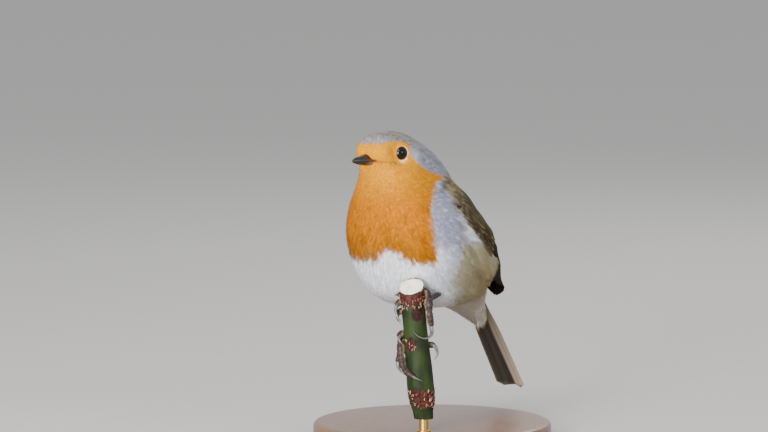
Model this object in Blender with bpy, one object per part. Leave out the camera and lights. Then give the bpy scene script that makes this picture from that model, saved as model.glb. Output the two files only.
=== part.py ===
"""European robin, a still life-size model that grips a cut rose stem on a display stand.

The bird faces -Y, its left side is +X and +Z is up. Its own sizes are in millimetres from a
point in the middle of its body. ORIGIN moves them so that the part's origin is the centre of
the stand's underside. Every mesh is in metres.
"""
import math

import bmesh
import bpy
from mathutils import Vector

MM = 0.001
GAP = 0.3
FAR = 400.0

# The stand: a turned disc and one rod.
BASE_RADIUS = 46.0
BASE_THICK = 6.0
BASE_EDGE = 1.5
BASE_CENTRE = (4.0, 2.0)
BASE_TOP = -70.0
ROD_RADIUS = 1.8
ORIGIN = Vector((-BASE_CENTRE[0], -BASE_CENTRE[1], BASE_THICK - BASE_TOP))

# The rose stem leans to the bird's left and back as it goes down.
STEM_TOP = Vector((17.1, -23.7, -14.7))
STEM_FOOT = -65.0
STEM_LEAN = 0.093
# Level directions: the side that the stem leans to, and the front that its cut faces.
STEM_SIDE = Vector((0.731, 0.682, 0.0))
STEM_FRONT = Vector((0.682, -0.731, 0.0))
# Slope of the cut down to the front, and up to the side.
STEM_CUT = (math.tan(math.radians(31)), math.tan(math.radians(12)))
# Height and radius up the stem, with the swelling over the lower bud.
STEM_GIRTH = ((-65.0, 3.7), (-62.0, 3.9), (-58.5, 4.9), (-55.0, 5.2), (-48.0, 5.05), (-40.0, 4.8),
              (-30.0, 4.55), (-22.0, 4.5), (-14.7, 4.45))

# Level sections of the bird: height, front, widest place, back, half width.
CROWN = (44.0, -16.8)
# They are full ovals, a little squarer than an ellipse.
BODY = ((43.0, -20.8, -17.0, -12.6, 3.6),
        (41.4, -24.8, -16.7, -8.9, 6.9),
        (38.8, -28.8, -16.0, -4.6, 9.8),
        (35.4, -31.6, -15.2, 0.8, 12.2),
        (31.0, -29.2, -13.6, 6.4, 12.6),
        (25.0, -28.6, -11.0, 10.6, 15.2),
        (17.0, -30.0, -8.6, 13.4, 20.0),
        (10.0, -30.2, -7.0, 16.8, 23.4),
        (3.0, -29.6, -5.4, 20.2, 25.2),
        (-4.0, -27.8, -3.2, 23.2, 25.8),
        (-10.0, -25.0, -1.0, 24.9, 25.4),
        (-14.5, -22.6, 0.6, 25.8, 23.8),
        (-18.0, -20.8, 1.8, 25.8, 22.2),
        (-21.5, -17.6, 3.2, 24.2, 19.4),
        (-24.6, -11.4, 5.0, 20.8, 14.4))
BELLY = (-27.0, 6.5)
FULLNESS = 2.2
BODY_SIDES = 36
RUMP_SIDES = 24
# Face size of the even skin, and the share of its faces that the smoothed body keeps.
SKIN_STEP = 1.3
BODY_FACES = 0.12

# The tail points down and back in line with the rump.
TAIL_TIP = Vector((0.0, 52.2, -61.8))
TAIL_DIP = math.radians(58)
TAIL_DOWN = Vector((0.0, math.cos(TAIL_DIP), -math.sin(TAIL_DIP)))
TAIL_BACK = Vector((0.0, math.sin(TAIL_DIP), math.cos(TAIL_DIP)))
TAIL_LENGTH = 33.0
# Share of the tail's length from its root, half width, thickness.
TAIL = ((0.0, 6.9, 6.2), (0.1, 6.4, 4.8), (0.25, 5.8, 2.8), (0.5, 6.0, 1.8), (0.8, 6.6, 1.5),
        (0.96, 6.7, 1.2), (1.0, 6.3, 1.0))
TAIL_SHARES = (-1.0, -0.75, -0.4, 0.0, 0.4, 0.75, 1.0)
TAIL_NOTCH = 1.3
TAIL_CORNER = 1.2
# Half thickness of a feather edge.
VANE_EDGE = 0.3
# Distance up from the tail's root, half width and half depth of the rump.
RUMP = ((-5.0, 6.4, 2.6), (0.0, 7.4, 3.4), (6.0, 9.6, 5.2), (12.0, 12.6, 6.8), (20.0, 16.0, 8.6),
        (30.0, 17.0, 9.5))
RUMP_SAG = 0.3

# Folded wing from shoulder to tip: place, half width, thickness, bow round the body.
WING_ROOM = 0.5
WING_SHARES = (-1.0, -0.82, -0.45, 0.0, 0.45, 0.82, 1.0)
WING = ((Vector((15.6, -7.6, 22.0)), 3.4, 2.4, 0.6),
        (Vector((17.4, -3.8, 18.4)), 7.2, 4.0, 1.4),
        (Vector((19.6, 3.6, 11.0)), 10.0, 4.6, 2.4),
        (Vector((20.8, 12.4, 0.0)), 10.8, 4.2, 2.8),
        (Vector((18.2, 21.0, -11.5)), 8.4, 3.2, 1.8),
        (Vector((15.4, 26.4, -18.8)), 6.0, 2.2, 0.8),
        (Vector((13.0, 30.2, -24.4)), 2.8, 1.2, 0.0))

# The face is hollowed round each eye and towards the bill.
EYE = Vector((9.3, -20.7, 35.4))
EYE_RADIUS = 3.0
EYE_FACING = Vector((0.95, -0.28, 0.08)).normalized()
EYE_STANDS = 1.15
HOLLOW_RADII = (11.0, 16.0, 9.0)

# The bill from the edge of its feathers' skin to its tip.
BILL_ROOT = -26.8
BILL_TIP = -38.2
GAPE_ROOT = 32.05
GAPE_TIP = 33.1
# Share of the length, half width, depth above and below the gape line.
BILL = ((0.0, 3.1, 3.0, 1.75), (0.25, 2.5, 2.75, 1.6), (0.5, 1.8, 2.2, 1.35),
        (0.75, 1.1, 1.45, 0.95), (0.92, 0.55, 0.7, 0.5), (1.0, 0.2, 0.25, 0.25))

HEAD_CUT = (Vector((0.0, -12.0, 26.5)), Vector((0.0, -0.25, 0.97)).normalized())
NECK_CUT = (Vector((0.0, -8.5, 13.5)), Vector((0.0, -0.2, 0.98)).normalized())
RUMP_CUT = (Vector((0.0, 24.5, -19.5)), -TAIL_DOWN)

# Each foot: the palm's angle round the stem and height, then the leg's run into the belly.
# Angles are degrees round the stem, 0 in front and 90 on the bird's left.
# A toe or claw is a run of (angle, height, stand-off from the stem's bark).
LEGS = {
    "left": {
        "palm": (98.0, -19.4),
        "thigh": (Vector((17.4, -8.6, -19.0)), Vector((13.6, 2.6, -16.4))),
        "toe": {
            "inner": ((119, -17.0, 0), (180, -17.2, 0), (238, -18.2, 0)),
            "middle": ((119, -19.6, 0), (190, -20.2, 0), (266, -21.6, 0)),
            "outer": ((119, -22.2, 0), (190, -23.4, 0), (258, -25.0, 0)),
            "hind": ((73, -20.4, 0.3), (71, -25.0, 0.3), (73, -29.6, 0.4))},
        "claw": {
            "inner": ((250, -18.0, 0.6), (262, -18.4, -0.4)),
            "middle": ((277, -23.4, 0.9), (286, -26.0, 0.5), (294, -27.6, -0.5)),
            "outer": ((270, -26.8, 0.5), (284, -28.8, -0.5)),
            "hind": ((60, -32.4, 0.9), (32, -33.8, 0.4), (6, -32.6, -0.2), (-8, -30.8, -0.6))}},
    "right": {
        "palm": (203.0, -35.2),
        "thigh": (Vector((0.6, -4.0, -25.2)), Vector((-4.0, 3.2, -20.4))),
        "toe": {
            "inner": ((224, -32.6, 0), (240, -31.6, 0), (262, -30.6, 0)),
            "middle": ((224, -35.2, 0), (262, -35.4, 0), (290, -37.4, 0), (319, -42.4, 0),
                       (352, -48.0, 0)),
            "outer": ((224, -37.9, 0), (252, -38.6, 0.2), (264, -40.6, 0.8), (268, -43.4, 1.6)),
            "hind": ((184, -36.6, 0), (140, -37.4, 0), (101, -37.6, 0.2))},
        "claw": {
            "inner": ((272, -31.4, 0.4), (281, -33.4, -0.5)),
            "middle": ((366, -49.8, 0.3), (383, -50.9, -0.6)),
            "outer": ((271, -45.4, 1.8), (279, -47.2, 0.9), (288, -48.2, -0.2)),
            "hind": ((95, -38.8, 1.3), (94, -41.6, 1.9), (90, -44.0, 0.2))}}}
PALM_HALF = 3.3
PALM_RADIUS = 1.3
KNUCKLE_OUT = 0.8
TARSUS_RADIUS = 1.0
TOE_RADII = (1.1, 0.85)
CLAW_RADII = (0.66, 0.2)
DIGIT_STEPS = 3
THIGH_RADII = (1.5, 5.0)

# Colour and roughness of each plain finish.
COLOURS = {
    "plumage_orange": ("E39A45", 0.85),
    "plumage_back": ("8C7F66", 0.85),
    "plumage_belly": ("D8D8D8", 0.85),
    "flight_feather": ("4A3B2E", 0.65),
    "eye": ("120E10", 0.08),
    "horn": ("3A2A2A", 0.4),
    "leg_scale": ("5C4438", 0.55),
    "rose_bark": ("56693A", 0.5),
    "turned_wood": ("6A4A30", 0.45),
    "brass": ("B08D4A", 0.3)}


def linear(code):
    """One sRGB hex colour as linear red, green, blue."""
    shares = [int(code[i:i + 2], 16) / 255 for i in (0, 2, 4)]
    return [s / 12.92 if s <= 0.04045 else ((s + 0.055) / 1.055) ** 2.4 for s in shares]


def finish(name):
    """The plain material of that name, made once."""
    made = bpy.data.materials.get(name)
    if made is None:
        made = bpy.data.materials.new(name)
        made.use_nodes = True
        shader = made.node_tree.nodes["Principled BSDF"]
        code, roughness = COLOURS[name]
        shader.inputs["Base Color"].default_value = (*linear(code), 1.0)
        shader.inputs["Roughness"].default_value = roughness
        shader.inputs["Metallic"].default_value = 1.0 if name == "brass" else 0.0
    return made


def add_object(name, bm):
    """Close the mesh's record, face it outwards and link it as an object."""
    bmesh.ops.recalc_face_normals(bm, faces=bm.faces[:])
    mesh = bpy.data.meshes.new(name)
    bm.to_mesh(mesh)
    bm.free()
    obj = bpy.data.objects.new(name, mesh)
    bpy.context.collection.objects.link(obj)
    return obj


def spline(values, steps):
    """A smooth run through rows of numbers, with steps pieces between two rows."""
    rows = [Vector(v) for v in values]
    ends = [rows[0] * 2 - rows[1]] + rows + [rows[-1] * 2 - rows[-2]]
    run = []
    for i in range(1, len(ends) - 2):
        before, start, end, after = ends[i - 1:i + 3]
        for k in range(steps):
            t = k / steps
            run.append(0.5 * (2 * start + (end - before) * t
                              + (2 * before - 5 * start + 4 * end - after) * t ** 2
                              + (3 * start - before - 3 * end + after) * t ** 3))
    return run + [rows[-1]]


def read(rows, place):
    """Values of a table at a place between its rows, by straight shares."""
    rows = sorted(rows)
    place = min(max(place, rows[0][0]), rows[-1][0])
    for low, high in zip(rows, rows[1:]):
        if place <= high[0]:
            t = (place - low[0]) / (high[0] - low[0])
            return [a + (b - a) * t for a, b in zip(low[1:], high[1:])]
    return list(rows[-1][1:])


def loft(name, rings, poles=(None, None)):
    """Skin a row of rings of points in mm. An end closes on a pole or on a flat face."""
    bm = bmesh.new()
    loops = [[bm.verts.new((p + ORIGIN) * MM) for p in ring] for ring in rings]
    count = len(rings[0])
    for low, high in zip(loops, loops[1:]):
        for i in range(count):
            j = (i + 1) % count
            bm.faces.new((low[i], low[j], high[j], high[i]))
    for loop, pole in ((loops[0], poles[0]), (loops[-1], poles[1])):
        if pole is None:
            bm.faces.new(loop)
            continue
        tip = bm.verts.new((pole + ORIGIN) * MM)
        for i in range(count):
            bm.faces.new((loop[i], loop[(i + 1) % count], tip))
    return add_object(name, bm)


def tangent(run, i):
    """The direction of a run of points at one of them."""
    return (run[min(i + 1, len(run) - 1)] - run[max(i - 1, 0)]).normalized()


def sweep(run, radii, sides):
    """Round rings along a run of points, one radius for each."""
    side = (run[1] - run[0]).orthogonal().normalized()
    rings = []
    for i, (point, radius) in enumerate(zip(run, radii)):
        along = tangent(run, i)
        side = (side - along * side.dot(along)).normalized()
        other = along.cross(side)
        rings.append([point + radius * (side * math.cos(a) + other * math.sin(a))
                      for a in (2 * math.pi * k / sides for k in range(sides))])
    return rings


def taper(run, ends):
    """Radii that change evenly along a run from one end's to the other's."""
    lengths = [0.0]
    for a, b in zip(run, run[1:]):
        lengths.append(lengths[-1] + (b - a).length)
    return [ends[0] + (ends[1] - ends[0]) * length / lengths[-1] for length in lengths]


def tube(name, run, ends, sides, grow=0.0):
    """A round tapering rod along a run of points, flat at both ends."""
    run = list(run)
    run[0] -= tangent(run, 0) * grow
    run[-1] += tangent(run, len(run) - 1) * grow
    return loft(name, sweep(run, [r + grow for r in taper(run, ends)], sides))


def settle(obj):
    """Replace an object's mesh by what its modifiers make of it."""
    graph = bpy.context.evaluated_depsgraph_get()
    mesh = bpy.data.meshes.new_from_object(obj.evaluated_get(graph))
    obj.modifiers.clear()
    obj.data = mesh
    return obj


def reskin(obj):
    """Turn joined forms into one even skin."""
    remesh = obj.modifiers.new("one skin", "REMESH")
    remesh.mode = "VOXEL"
    remesh.voxel_size = SKIN_STEP * MM
    return settle(obj)


def combine(obj, tool, operation):
    """Cut, join or trim an object by another one, which is used up."""
    step = obj.modifiers.new("combine", "BOOLEAN")
    step.operation = operation
    step.solver = "EXACT"
    step.object = tool
    settle(obj)
    bpy.data.objects.remove(tool)
    bpy.context.view_layer.update()
    return obj


def keep_largest(obj):
    """Drop any chip that a cut has freed from the main body."""
    bm = bmesh.new()
    bm.from_mesh(obj.data)
    groups = []
    left = set(bm.verts)
    while left:
        group = {left.pop()}
        edge = list(group)
        while edge:
            vert = edge.pop()
            near = {e.other_vert(vert) for e in vert.link_edges} & left
            left -= near
            group |= near
            edge.extend(near)
        groups.append(group)
    groups.sort(key=len)
    for group in groups[:-1]:
        bmesh.ops.delete(bm, geom=list(group), context="VERTS")
    bm.to_mesh(obj.data)
    bm.free()
    return obj


def half_space(point, normal):
    """A large block that fills the side of a plane that its normal points to."""
    bm = bmesh.new()
    bmesh.ops.create_cube(bm, size=FAR * MM)
    turn = normal.to_track_quat("Z", "Y").to_matrix().to_4x4()
    bmesh.ops.transform(bm, matrix=turn, verts=bm.verts[:])
    middle = (point + ORIGIN + normal * FAR / 2) * MM
    bmesh.ops.translate(bm, vec=middle, verts=bm.verts[:])
    return add_object("side", bm)


def clone(obj, name):
    """A second object with its own copy of the mesh."""
    twin = bpy.data.objects.new(name, obj.data.copy())
    bpy.context.collection.objects.link(twin)
    return twin


def complete(obj, name, colour):
    """Name a finished node and give it its material."""
    obj.name = name
    obj.data.name = name
    obj.data.materials.clear()
    obj.data.materials.append(finish(colour))
    obj.data.shade_smooth()
    obj.data.set_sharp_from_angle(angle=math.radians(40))
    return obj


def level_ring(section):
    """One level section of the bird, a full oval with its own front and back depths."""
    height, front, widest, back, half = section
    ring = []
    for k in range(BODY_SIDES):
        turn = 2 * math.pi * k / BODY_SIDES
        sine, cosine = math.sin(turn), math.cos(turn)
        across = math.copysign(abs(sine) ** (2 / FULLNESS), sine)
        along = math.copysign(abs(cosine) ** (2 / FULLNESS), cosine)
        depth = (widest - front) if along > 0 else (back - widest)
        ring.append(Vector((half * across, widest - depth * along, height)))
    return ring


def make_body():
    """Head, neck, trunk and rump as one smooth form, before it is parted."""
    rings = [level_ring(row) for row in spline(BODY, 2)]
    crown = Vector((0.0, CROWN[1], CROWN[0]))
    belly = Vector((0.0, BELLY[1], BELLY[0]))
    body = loft("body", rings, (crown, belly))
    root = TAIL_TIP - TAIL_DOWN * TAIL_LENGTH
    rump_rings = []
    for up, half, depth in RUMP:
        centre = root - TAIL_DOWN * up - TAIL_BACK * max(up, 0.0) * RUMP_SAG
        rump_rings.append([centre + Vector((half * math.cos(a), 0, 0)) + TAIL_BACK * depth * math.sin(a)
                           for a in (2 * math.pi * k / RUMP_SIDES for k in range(RUMP_SIDES))])
    combine(body, loft("rump", rump_rings), "UNION")
    reskin(body)
    for side in ("left", "right"):
        combine(body, make_hollow(side), "DIFFERENCE")
    reskin(body)
    even = body.modifiers.new("even", "SMOOTH")
    even.factor = 0.5
    even.iterations = 8
    fewer = body.modifiers.new("fewer", "DECIMATE")
    fewer.ratio = BODY_FACES
    return settle(body)


def on_side(point, side):
    """A point or direction given for the left side, moved to the side asked for."""
    return Vector((point.x if side == "left" else -point.x, point.y, point.z))


def make_hollow(side):
    """The long shallow hollow that an eye lies in, as a cutter."""
    bm = bmesh.new()
    bmesh.ops.create_uvsphere(bm, u_segments=32, v_segments=24, radius=MM)
    bmesh.ops.scale(bm, vec=HOLLOW_RADII, verts=bm.verts[:])
    facing = on_side(EYE_FACING, side)
    turn = facing.to_track_quat("X", "Z").to_matrix()
    bmesh.ops.rotate(bm, cent=(0, 0, 0), matrix=turn, verts=bm.verts[:])
    centre = on_side(EYE, side) + facing * HOLLOW_RADII[0] + ORIGIN
    bmesh.ops.translate(bm, vec=centre * MM, verts=bm.verts[:])
    return add_object("hollow", bm)


def wing_rings(grow):
    """Lens sections of the left wing, bowed to lie on the body."""
    rings = []
    axes = spline([row[0] for row in WING], 2)
    sizes = spline([row[1:] for row in WING], 2)
    for i, (place, size) in enumerate(zip(axes, sizes)):
        along = tangent(axes, i)
        widest, back, half_body = read([(r[0], r[2], r[3], r[4]) for r in BODY], place.z)
        out = Vector((place.x / half_body ** 2, (place.y - widest) / (back - widest) ** 2, 0.004))
        out = (out - along * out.dot(along)).normalized()
        across = along.cross(out)
        place = place + along * grow * ((i == len(axes) - 1) - (i == 0))
        half, thick, bow = size[0] + grow, size[1] / 2, size[2]
        outer, inner = [], []
        for t in WING_SHARES:
            bulge = VANE_EDGE + grow + (thick - VANE_EDGE) * (1 - t * t) ** 0.6
            middle = place + across * half * t - out * bow * t * t
            outer.append(middle + out * bulge)
            inner.append(middle - out * bulge)
        rings.append(outer + inner[::-1])
    return rings


def make_wing(side, grow=0.0):
    """One folded wing from shoulder to tip."""
    return loft("wing_" + side, [[on_side(p, side) for p in ring] for ring in wing_rings(grow)])


def make_tail():
    """The closed tail with its coverts' swelling at the root and a shallow notch at the tip."""
    root = TAIL_TIP - TAIL_DOWN * TAIL_LENGTH
    rings = []
    for share, half, thick in TAIL:
        upper, lower = [], []
        for t in TAIL_SHARES:
            reach = share * TAIL_LENGTH
            if share == 1.0:
                reach -= TAIL_NOTCH * (1 - abs(t)) + (TAIL_CORNER if abs(t) == 1.0 else 0.0)
            bulge = VANE_EDGE + (thick / 2 - VANE_EDGE) * (1 - t * t) ** 0.7
            middle = root + TAIL_DOWN * reach + Vector((half * t, 0, 0))
            upper.append(middle + TAIL_BACK * bulge)
            lower.append(middle - TAIL_BACK * bulge)
        rings.append(upper + lower[::-1])
    return loft("tail", rings)


def make_eye(side, grow=0.0):
    """One round eye, set into its socket."""
    bm = bmesh.new()
    bmesh.ops.create_uvsphere(bm, u_segments=14, v_segments=9, radius=(EYE_RADIUS + grow) * MM)
    centre = on_side(EYE - EYE_FACING * (EYE_RADIUS - EYE_STANDS), side)
    bmesh.ops.translate(bm, vec=(centre + ORIGIN) * MM, verts=bm.verts[:])
    return add_object("eye_" + side, bm)


def bill_arc(half, y, gape, depth, sign):
    """One half-round edge of the bill's section, from its left to its right side."""
    arc = []
    for k in range(9):
        a = math.pi * k / 8
        rise = 0.12 + (depth - 0.12) * math.sin(a)
        arc.append(Vector((half * math.cos(a), y, gape + sign * rise)))
    return arc


def make_bill(part):
    """One half of the bill, over or under the gape line."""
    rings = []
    sign, reach = (1, 1.0) if part == "upper" else (-1, 0.95)
    for share, half, above, below in BILL:
        y = BILL_ROOT + (BILL_TIP - BILL_ROOT) * share * reach
        gape = GAPE_ROOT + (GAPE_TIP - GAPE_ROOT) * share * reach + sign * GAP / 2
        ring = bill_arc(half, y, gape, above if part == "upper" else below, sign)
        rings.append([Vector((half, y, gape))] + ring + [Vector((-half, y, gape))])
    return loft("bill_" + part, rings)


def make_bill_socket():
    """The whole bill with room round it, as a cutter."""
    rings = []
    for share, half, above, below in BILL:
        y = BILL_ROOT + (BILL_TIP - BILL_ROOT) * share + (GAP if share == 0 else 0)
        gape = GAPE_ROOT + (GAPE_TIP - GAPE_ROOT) * share
        upper = bill_arc(half + GAP, y, gape, above + 1.5 * GAP, 1)
        lower = bill_arc(half + GAP, y, gape, below + 1.5 * GAP, -1)
        rings.append(upper + lower[::-1])
    return loft("socket", rings)


def stem_centre(height):
    """The middle of the stem at a height."""
    drop = (STEM_TOP.z - height) * STEM_LEAN
    return Vector((STEM_TOP.x, STEM_TOP.y, height)) + STEM_SIDE * drop


def round_stem(angle, height, distance):
    """A point at an angle round the stem and a distance from its middle."""
    a = math.radians(angle)
    return stem_centre(height) + (STEM_FRONT * math.cos(a) + STEM_SIDE * math.sin(a)) * distance


def make_stem(grow=0.0):
    """The cut stem: round, leaning, with a slanted cut on top."""
    rings = []
    count = 18
    heights = [girth[0] for girth in STEM_GIRTH]
    for height in heights:
        girth = read(STEM_GIRTH, height)[0] + grow
        ring = []
        for k in range(count):
            turn = 360 * k / count
            point = round_stem(turn, height, girth)
            if height == heights[-1]:
                flat = point - stem_centre(height)
                point.z += flat.dot(STEM_SIDE) * STEM_CUT[1] - flat.dot(STEM_FRONT) * STEM_CUT[0] + grow
            ring.append(point)
        rings.append(ring)
    return loft("perch_stem", rings)


def gripping_run(points, steps):
    """A smooth run round the stem. At a stand-off of 0 a toe just clears the bark."""
    run = []
    for angle, height, off in spline(points, steps):
        distance = read(STEM_GIRTH, height)[0] + GAP + TOE_RADII[0] + off
        run.append(round_stem(angle, height, distance))
    return run


def make_leg(side, grow=0.0):
    """Bare lower leg with the palm that its toes spread from, as one piece."""
    leg = LEGS[side]
    angle, height = leg["palm"]
    distance = read(STEM_GIRTH, height)[0] + GAP + PALM_RADIUS
    palm_run = [round_stem(angle, height + PALM_HALF * t, distance) for t in (1, 0.75, 0, -0.75, -1)]
    palm = tube("palm", palm_run, (PALM_RADIUS, PALM_RADIUS), 8, grow)
    knuckle = round_stem(angle, height, distance + KNUCKLE_OUT)
    top = leg["thigh"][0]
    up = (top - knuckle).normalized()
    shank = tube("tarsus_" + side, spline([knuckle, (knuckle + top) / 2, top - up * GAP], 2),
                 (TARSUS_RADIUS * 1.1, TARSUS_RADIUS), 8, grow)
    return combine(shank, palm, "UNION")


def make_thigh(side, grow=0.0):
    """The feathered upper leg, mostly inside the belly's plumage."""
    start, end = LEGS[side]["thigh"]
    run = [start.lerp(end, k / 4) for k in range(5)]
    return tube("thigh_" + side, run, THIGH_RADII, 14, grow)


def make_digit(side, toe):
    """One toe wrapped round the stem, and its curved claw just beyond it."""
    toe_points, claw_points = LEGS[side]["toe"][toe], LEGS[side]["claw"][toe]
    run = gripping_run(toe_points + claw_points, DIGIT_STEPS)
    last = DIGIT_STEPS * (len(toe_points) - 1)
    toe_radii = taper(run[:last + 1], TOE_RADII)
    claw_radii = taper(run[last:], CLAW_RADII)
    rings = sweep(run, toe_radii + claw_radii[1:], 7)
    nail = sweep(run, toe_radii[:-1] + claw_radii, 7)[last:]
    nail[0] = [p + tangent(run, last) * GAP for p in nail[0]]
    complete(loft("toe", rings[:last + 1]), "toe_" + side + "_" + toe, "leg_scale")
    complete(loft("claw", nail), "claw_" + side + "_" + toe, "horn")


def make_base():
    """The stand's turned disc, with its upper edge rounded over."""
    bm = bmesh.new()
    bmesh.ops.create_cone(bm, cap_ends=True, segments=48, radius1=BASE_RADIUS * MM,
                          radius2=BASE_RADIUS * MM, depth=BASE_THICK * MM)
    upper = [e for e in bm.edges if all(v.co.z > 0 for v in e.verts)]
    bmesh.ops.bevel(bm, geom=upper, offset=BASE_EDGE * MM, segments=2, profile=0.5,
                    affect="EDGES", material=-1)
    bmesh.ops.translate(bm, vec=(0, 0, BASE_THICK / 2 * MM), verts=bm.verts[:])
    return add_object("stand_base", bm)


def make_rod():
    """The short rod between the disc and the stem's foot."""
    foot = stem_centre(STEM_FOOT)
    low = Vector((foot.x, foot.y, BASE_TOP + GAP))
    high = Vector((foot.x, foot.y, STEM_FOOT - GAP))
    return tube("stand_rod", [low, high], (ROD_RADIUS, ROD_RADIUS), 20)


def part_body(body):
    """Divide the cleared body into its nodes with thin level and slanted cuts."""
    def piece(name, colour, sides):
        obj = clone(body, name)
        for (point, normal), sign in sides:
            combine(obj, half_space(point + normal * sign * GAP / 2, normal * sign), "INTERSECT")
        return complete(keep_largest(obj), name, colour)

    tail_cut = (TAIL_TIP - TAIL_DOWN * (TAIL_LENGTH + GAP / 2), -TAIL_DOWN)
    piece("head", "plumage_orange", [(HEAD_CUT, 1)])
    piece("neck", "plumage_orange", [(HEAD_CUT, -1), (NECK_CUT, 1)])
    piece("trunk", "plumage_belly", [(NECK_CUT, -1), (RUMP_CUT, 1)])
    piece("rump", "plumage_back", [(RUMP_CUT, -1), (tail_cut, 1)])
    bpy.data.objects.remove(body)


def main():
    """Empty the file and build every node."""
    for obj in list(bpy.data.objects):
        bpy.data.objects.remove(obj)
    body = make_body()
    combine(body, make_stem(GAP), "DIFFERENCE")
    combine(body, make_bill_socket(), "DIFFERENCE")
    for side in ("left", "right"):
        combine(body, make_wing(side, WING_ROOM), "DIFFERENCE")
        combine(body, make_eye(side, GAP), "DIFFERENCE")
        combine(body, make_thigh(side, GAP), "DIFFERENCE")
        combine(body, make_leg(side, GAP), "DIFFERENCE")
    part_body(body)

    for side in ("left", "right"):
        complete(make_wing(side), "wing_" + side, "flight_feather")
        complete(make_eye(side), "eye_" + side, "eye")
        complete(make_thigh(side), "thigh_" + side, "plumage_belly")
        complete(make_leg(side), "tarsus_" + side, "leg_scale")
        for toe in ("inner", "middle", "outer", "hind"):
            make_digit(side, toe)
    complete(make_bill("upper"), "bill_upper", "horn")
    complete(make_bill("lower"), "bill_lower", "horn")
    complete(make_tail(), "tail", "flight_feather")
    complete(make_stem(), "perch_stem", "rose_bark")
    complete(make_base(), "stand_base", "turned_wood")
    complete(make_rod(), "stand_rod", "brass")


main()
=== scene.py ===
"""The looks of a life-size European robin on a cut rose stem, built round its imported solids.

The bird faces -Y, its left side is +X and +Z is up. Its own sizes are in millimetres from BIRD,
the middle of its body. Every finished mesh is in metres in the frame of the solids.
"""
import math

import bmesh
import bpy
import numpy as np
from mathutils import Matrix, Vector, noise
from mathutils.bvhtree import BVHTree


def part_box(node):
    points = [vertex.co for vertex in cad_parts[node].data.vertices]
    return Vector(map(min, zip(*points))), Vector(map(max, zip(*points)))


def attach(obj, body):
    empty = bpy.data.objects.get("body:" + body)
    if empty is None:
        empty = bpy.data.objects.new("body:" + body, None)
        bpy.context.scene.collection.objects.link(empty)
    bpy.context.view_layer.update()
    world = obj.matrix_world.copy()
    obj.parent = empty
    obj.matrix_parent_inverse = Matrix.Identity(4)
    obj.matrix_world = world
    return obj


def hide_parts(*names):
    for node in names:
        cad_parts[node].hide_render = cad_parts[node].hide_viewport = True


bl_info = {
    "name": "European robin on a rose stem",
    "version": (1, 0, 0),
    "blender": (4, 5, 0),
    "location": "View3D > Sidebar > Robin",
    "description": "Dresses the solids of a robin in skin, feathers, scales and bark",
    "category": "Object",
}

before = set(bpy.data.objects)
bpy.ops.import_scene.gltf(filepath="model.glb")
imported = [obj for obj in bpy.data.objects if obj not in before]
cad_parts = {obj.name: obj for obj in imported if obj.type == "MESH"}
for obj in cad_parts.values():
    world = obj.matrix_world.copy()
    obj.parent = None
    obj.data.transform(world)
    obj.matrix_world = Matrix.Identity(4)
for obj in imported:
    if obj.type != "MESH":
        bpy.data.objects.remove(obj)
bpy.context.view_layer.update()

MM = 0.001
BIRD = Vector((-4.0, -2.0, 76.0))
SEED = 11
UP = Vector((0.0, 0.0, 1.0))
SIDES = {"left": 1.0, "right": -1.0}

# Landmarks of the bird: the middle of the bill's base, the tail's tip and slope, the shoulder, and the
# directions down and forward over a folded wing.
BILL_BASE = Vector((0.0, -28.0, 33.0))
TAIL_TIP = Vector((0.0, 52.2, -61.8))
TAIL_DIP = math.radians(58)
TAIL_DOWN = Vector((0.0, math.cos(TAIL_DIP), -math.sin(TAIL_DIP)))
TAIL_BACK = Vector((0.0, math.sin(TAIL_DIP), math.cos(TAIL_DIP)))
TAIL_LENGTH = 33.0
TAIL_ROOT = TAIL_TIP - TAIL_DOWN * TAIL_LENGTH
SHOULDER = Vector((0.0, -7.6, 22.0))
WING_DOWN = Vector((0.0, 0.632, -0.775))
WING_FRONT = Vector((0.0, -0.775, -0.632))
# The left eye, from its solid, and the way that it looks.
EYE_LOW, EYE_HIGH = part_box("eye_left")
EYE = (EYE_LOW + EYE_HIGH) / 2 / MM - BIRD
EYE_RADIUS = (EYE_HIGH.z - EYE_LOW.z) / 2 / MM
EYE_FACING = Vector((0.95, -0.28, 0.08)).normalized()
# Angles off its facing at which the lids close round an eye: at its corners, top and bottom.
LID_ANGLES = (46.5, 51.0, 59.0)
# Share of the bill's length, half width, height over and depth under the gape line.
BILL = ((0.0, 3.1, 3.0, 1.75), (0.25, 2.6, 2.85, 1.65), (0.5, 2.0, 2.4, 1.5), (0.75, 1.3, 1.75, 1.1),
        (0.92, 0.65, 0.95, 0.6), (1.0, 0.14, 0.2, 0.18))
BILL_ENDS = (-26.4, -38.2)
GAPE_ENDS = (32.05, 32.75)


# Settings

def linear(code):
    """One sRGB hex colour as linear red, green, blue."""
    shares = [int(code[i:i + 2], 16) / 255 for i in (0, 2, 4)]
    return tuple(s / 12.92 if s <= 0.04045 else ((s + 0.055) / 1.055) ** 2.4 for s in shares)


def colour_setting(name, code, description):
    """A colour that a user may change, given as sRGB hex."""
    return bpy.props.FloatVectorProperty(name=name, description=description, subtype="COLOR",
                                         size=3, min=0.0, max=1.0, default=linear(code))


def size_setting(name, value, description, low=0.1, high=3.0):
    """A plain factor that a user may change."""
    return bpy.props.FloatProperty(name=name, description=description, default=value, min=low, max=high)


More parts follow.
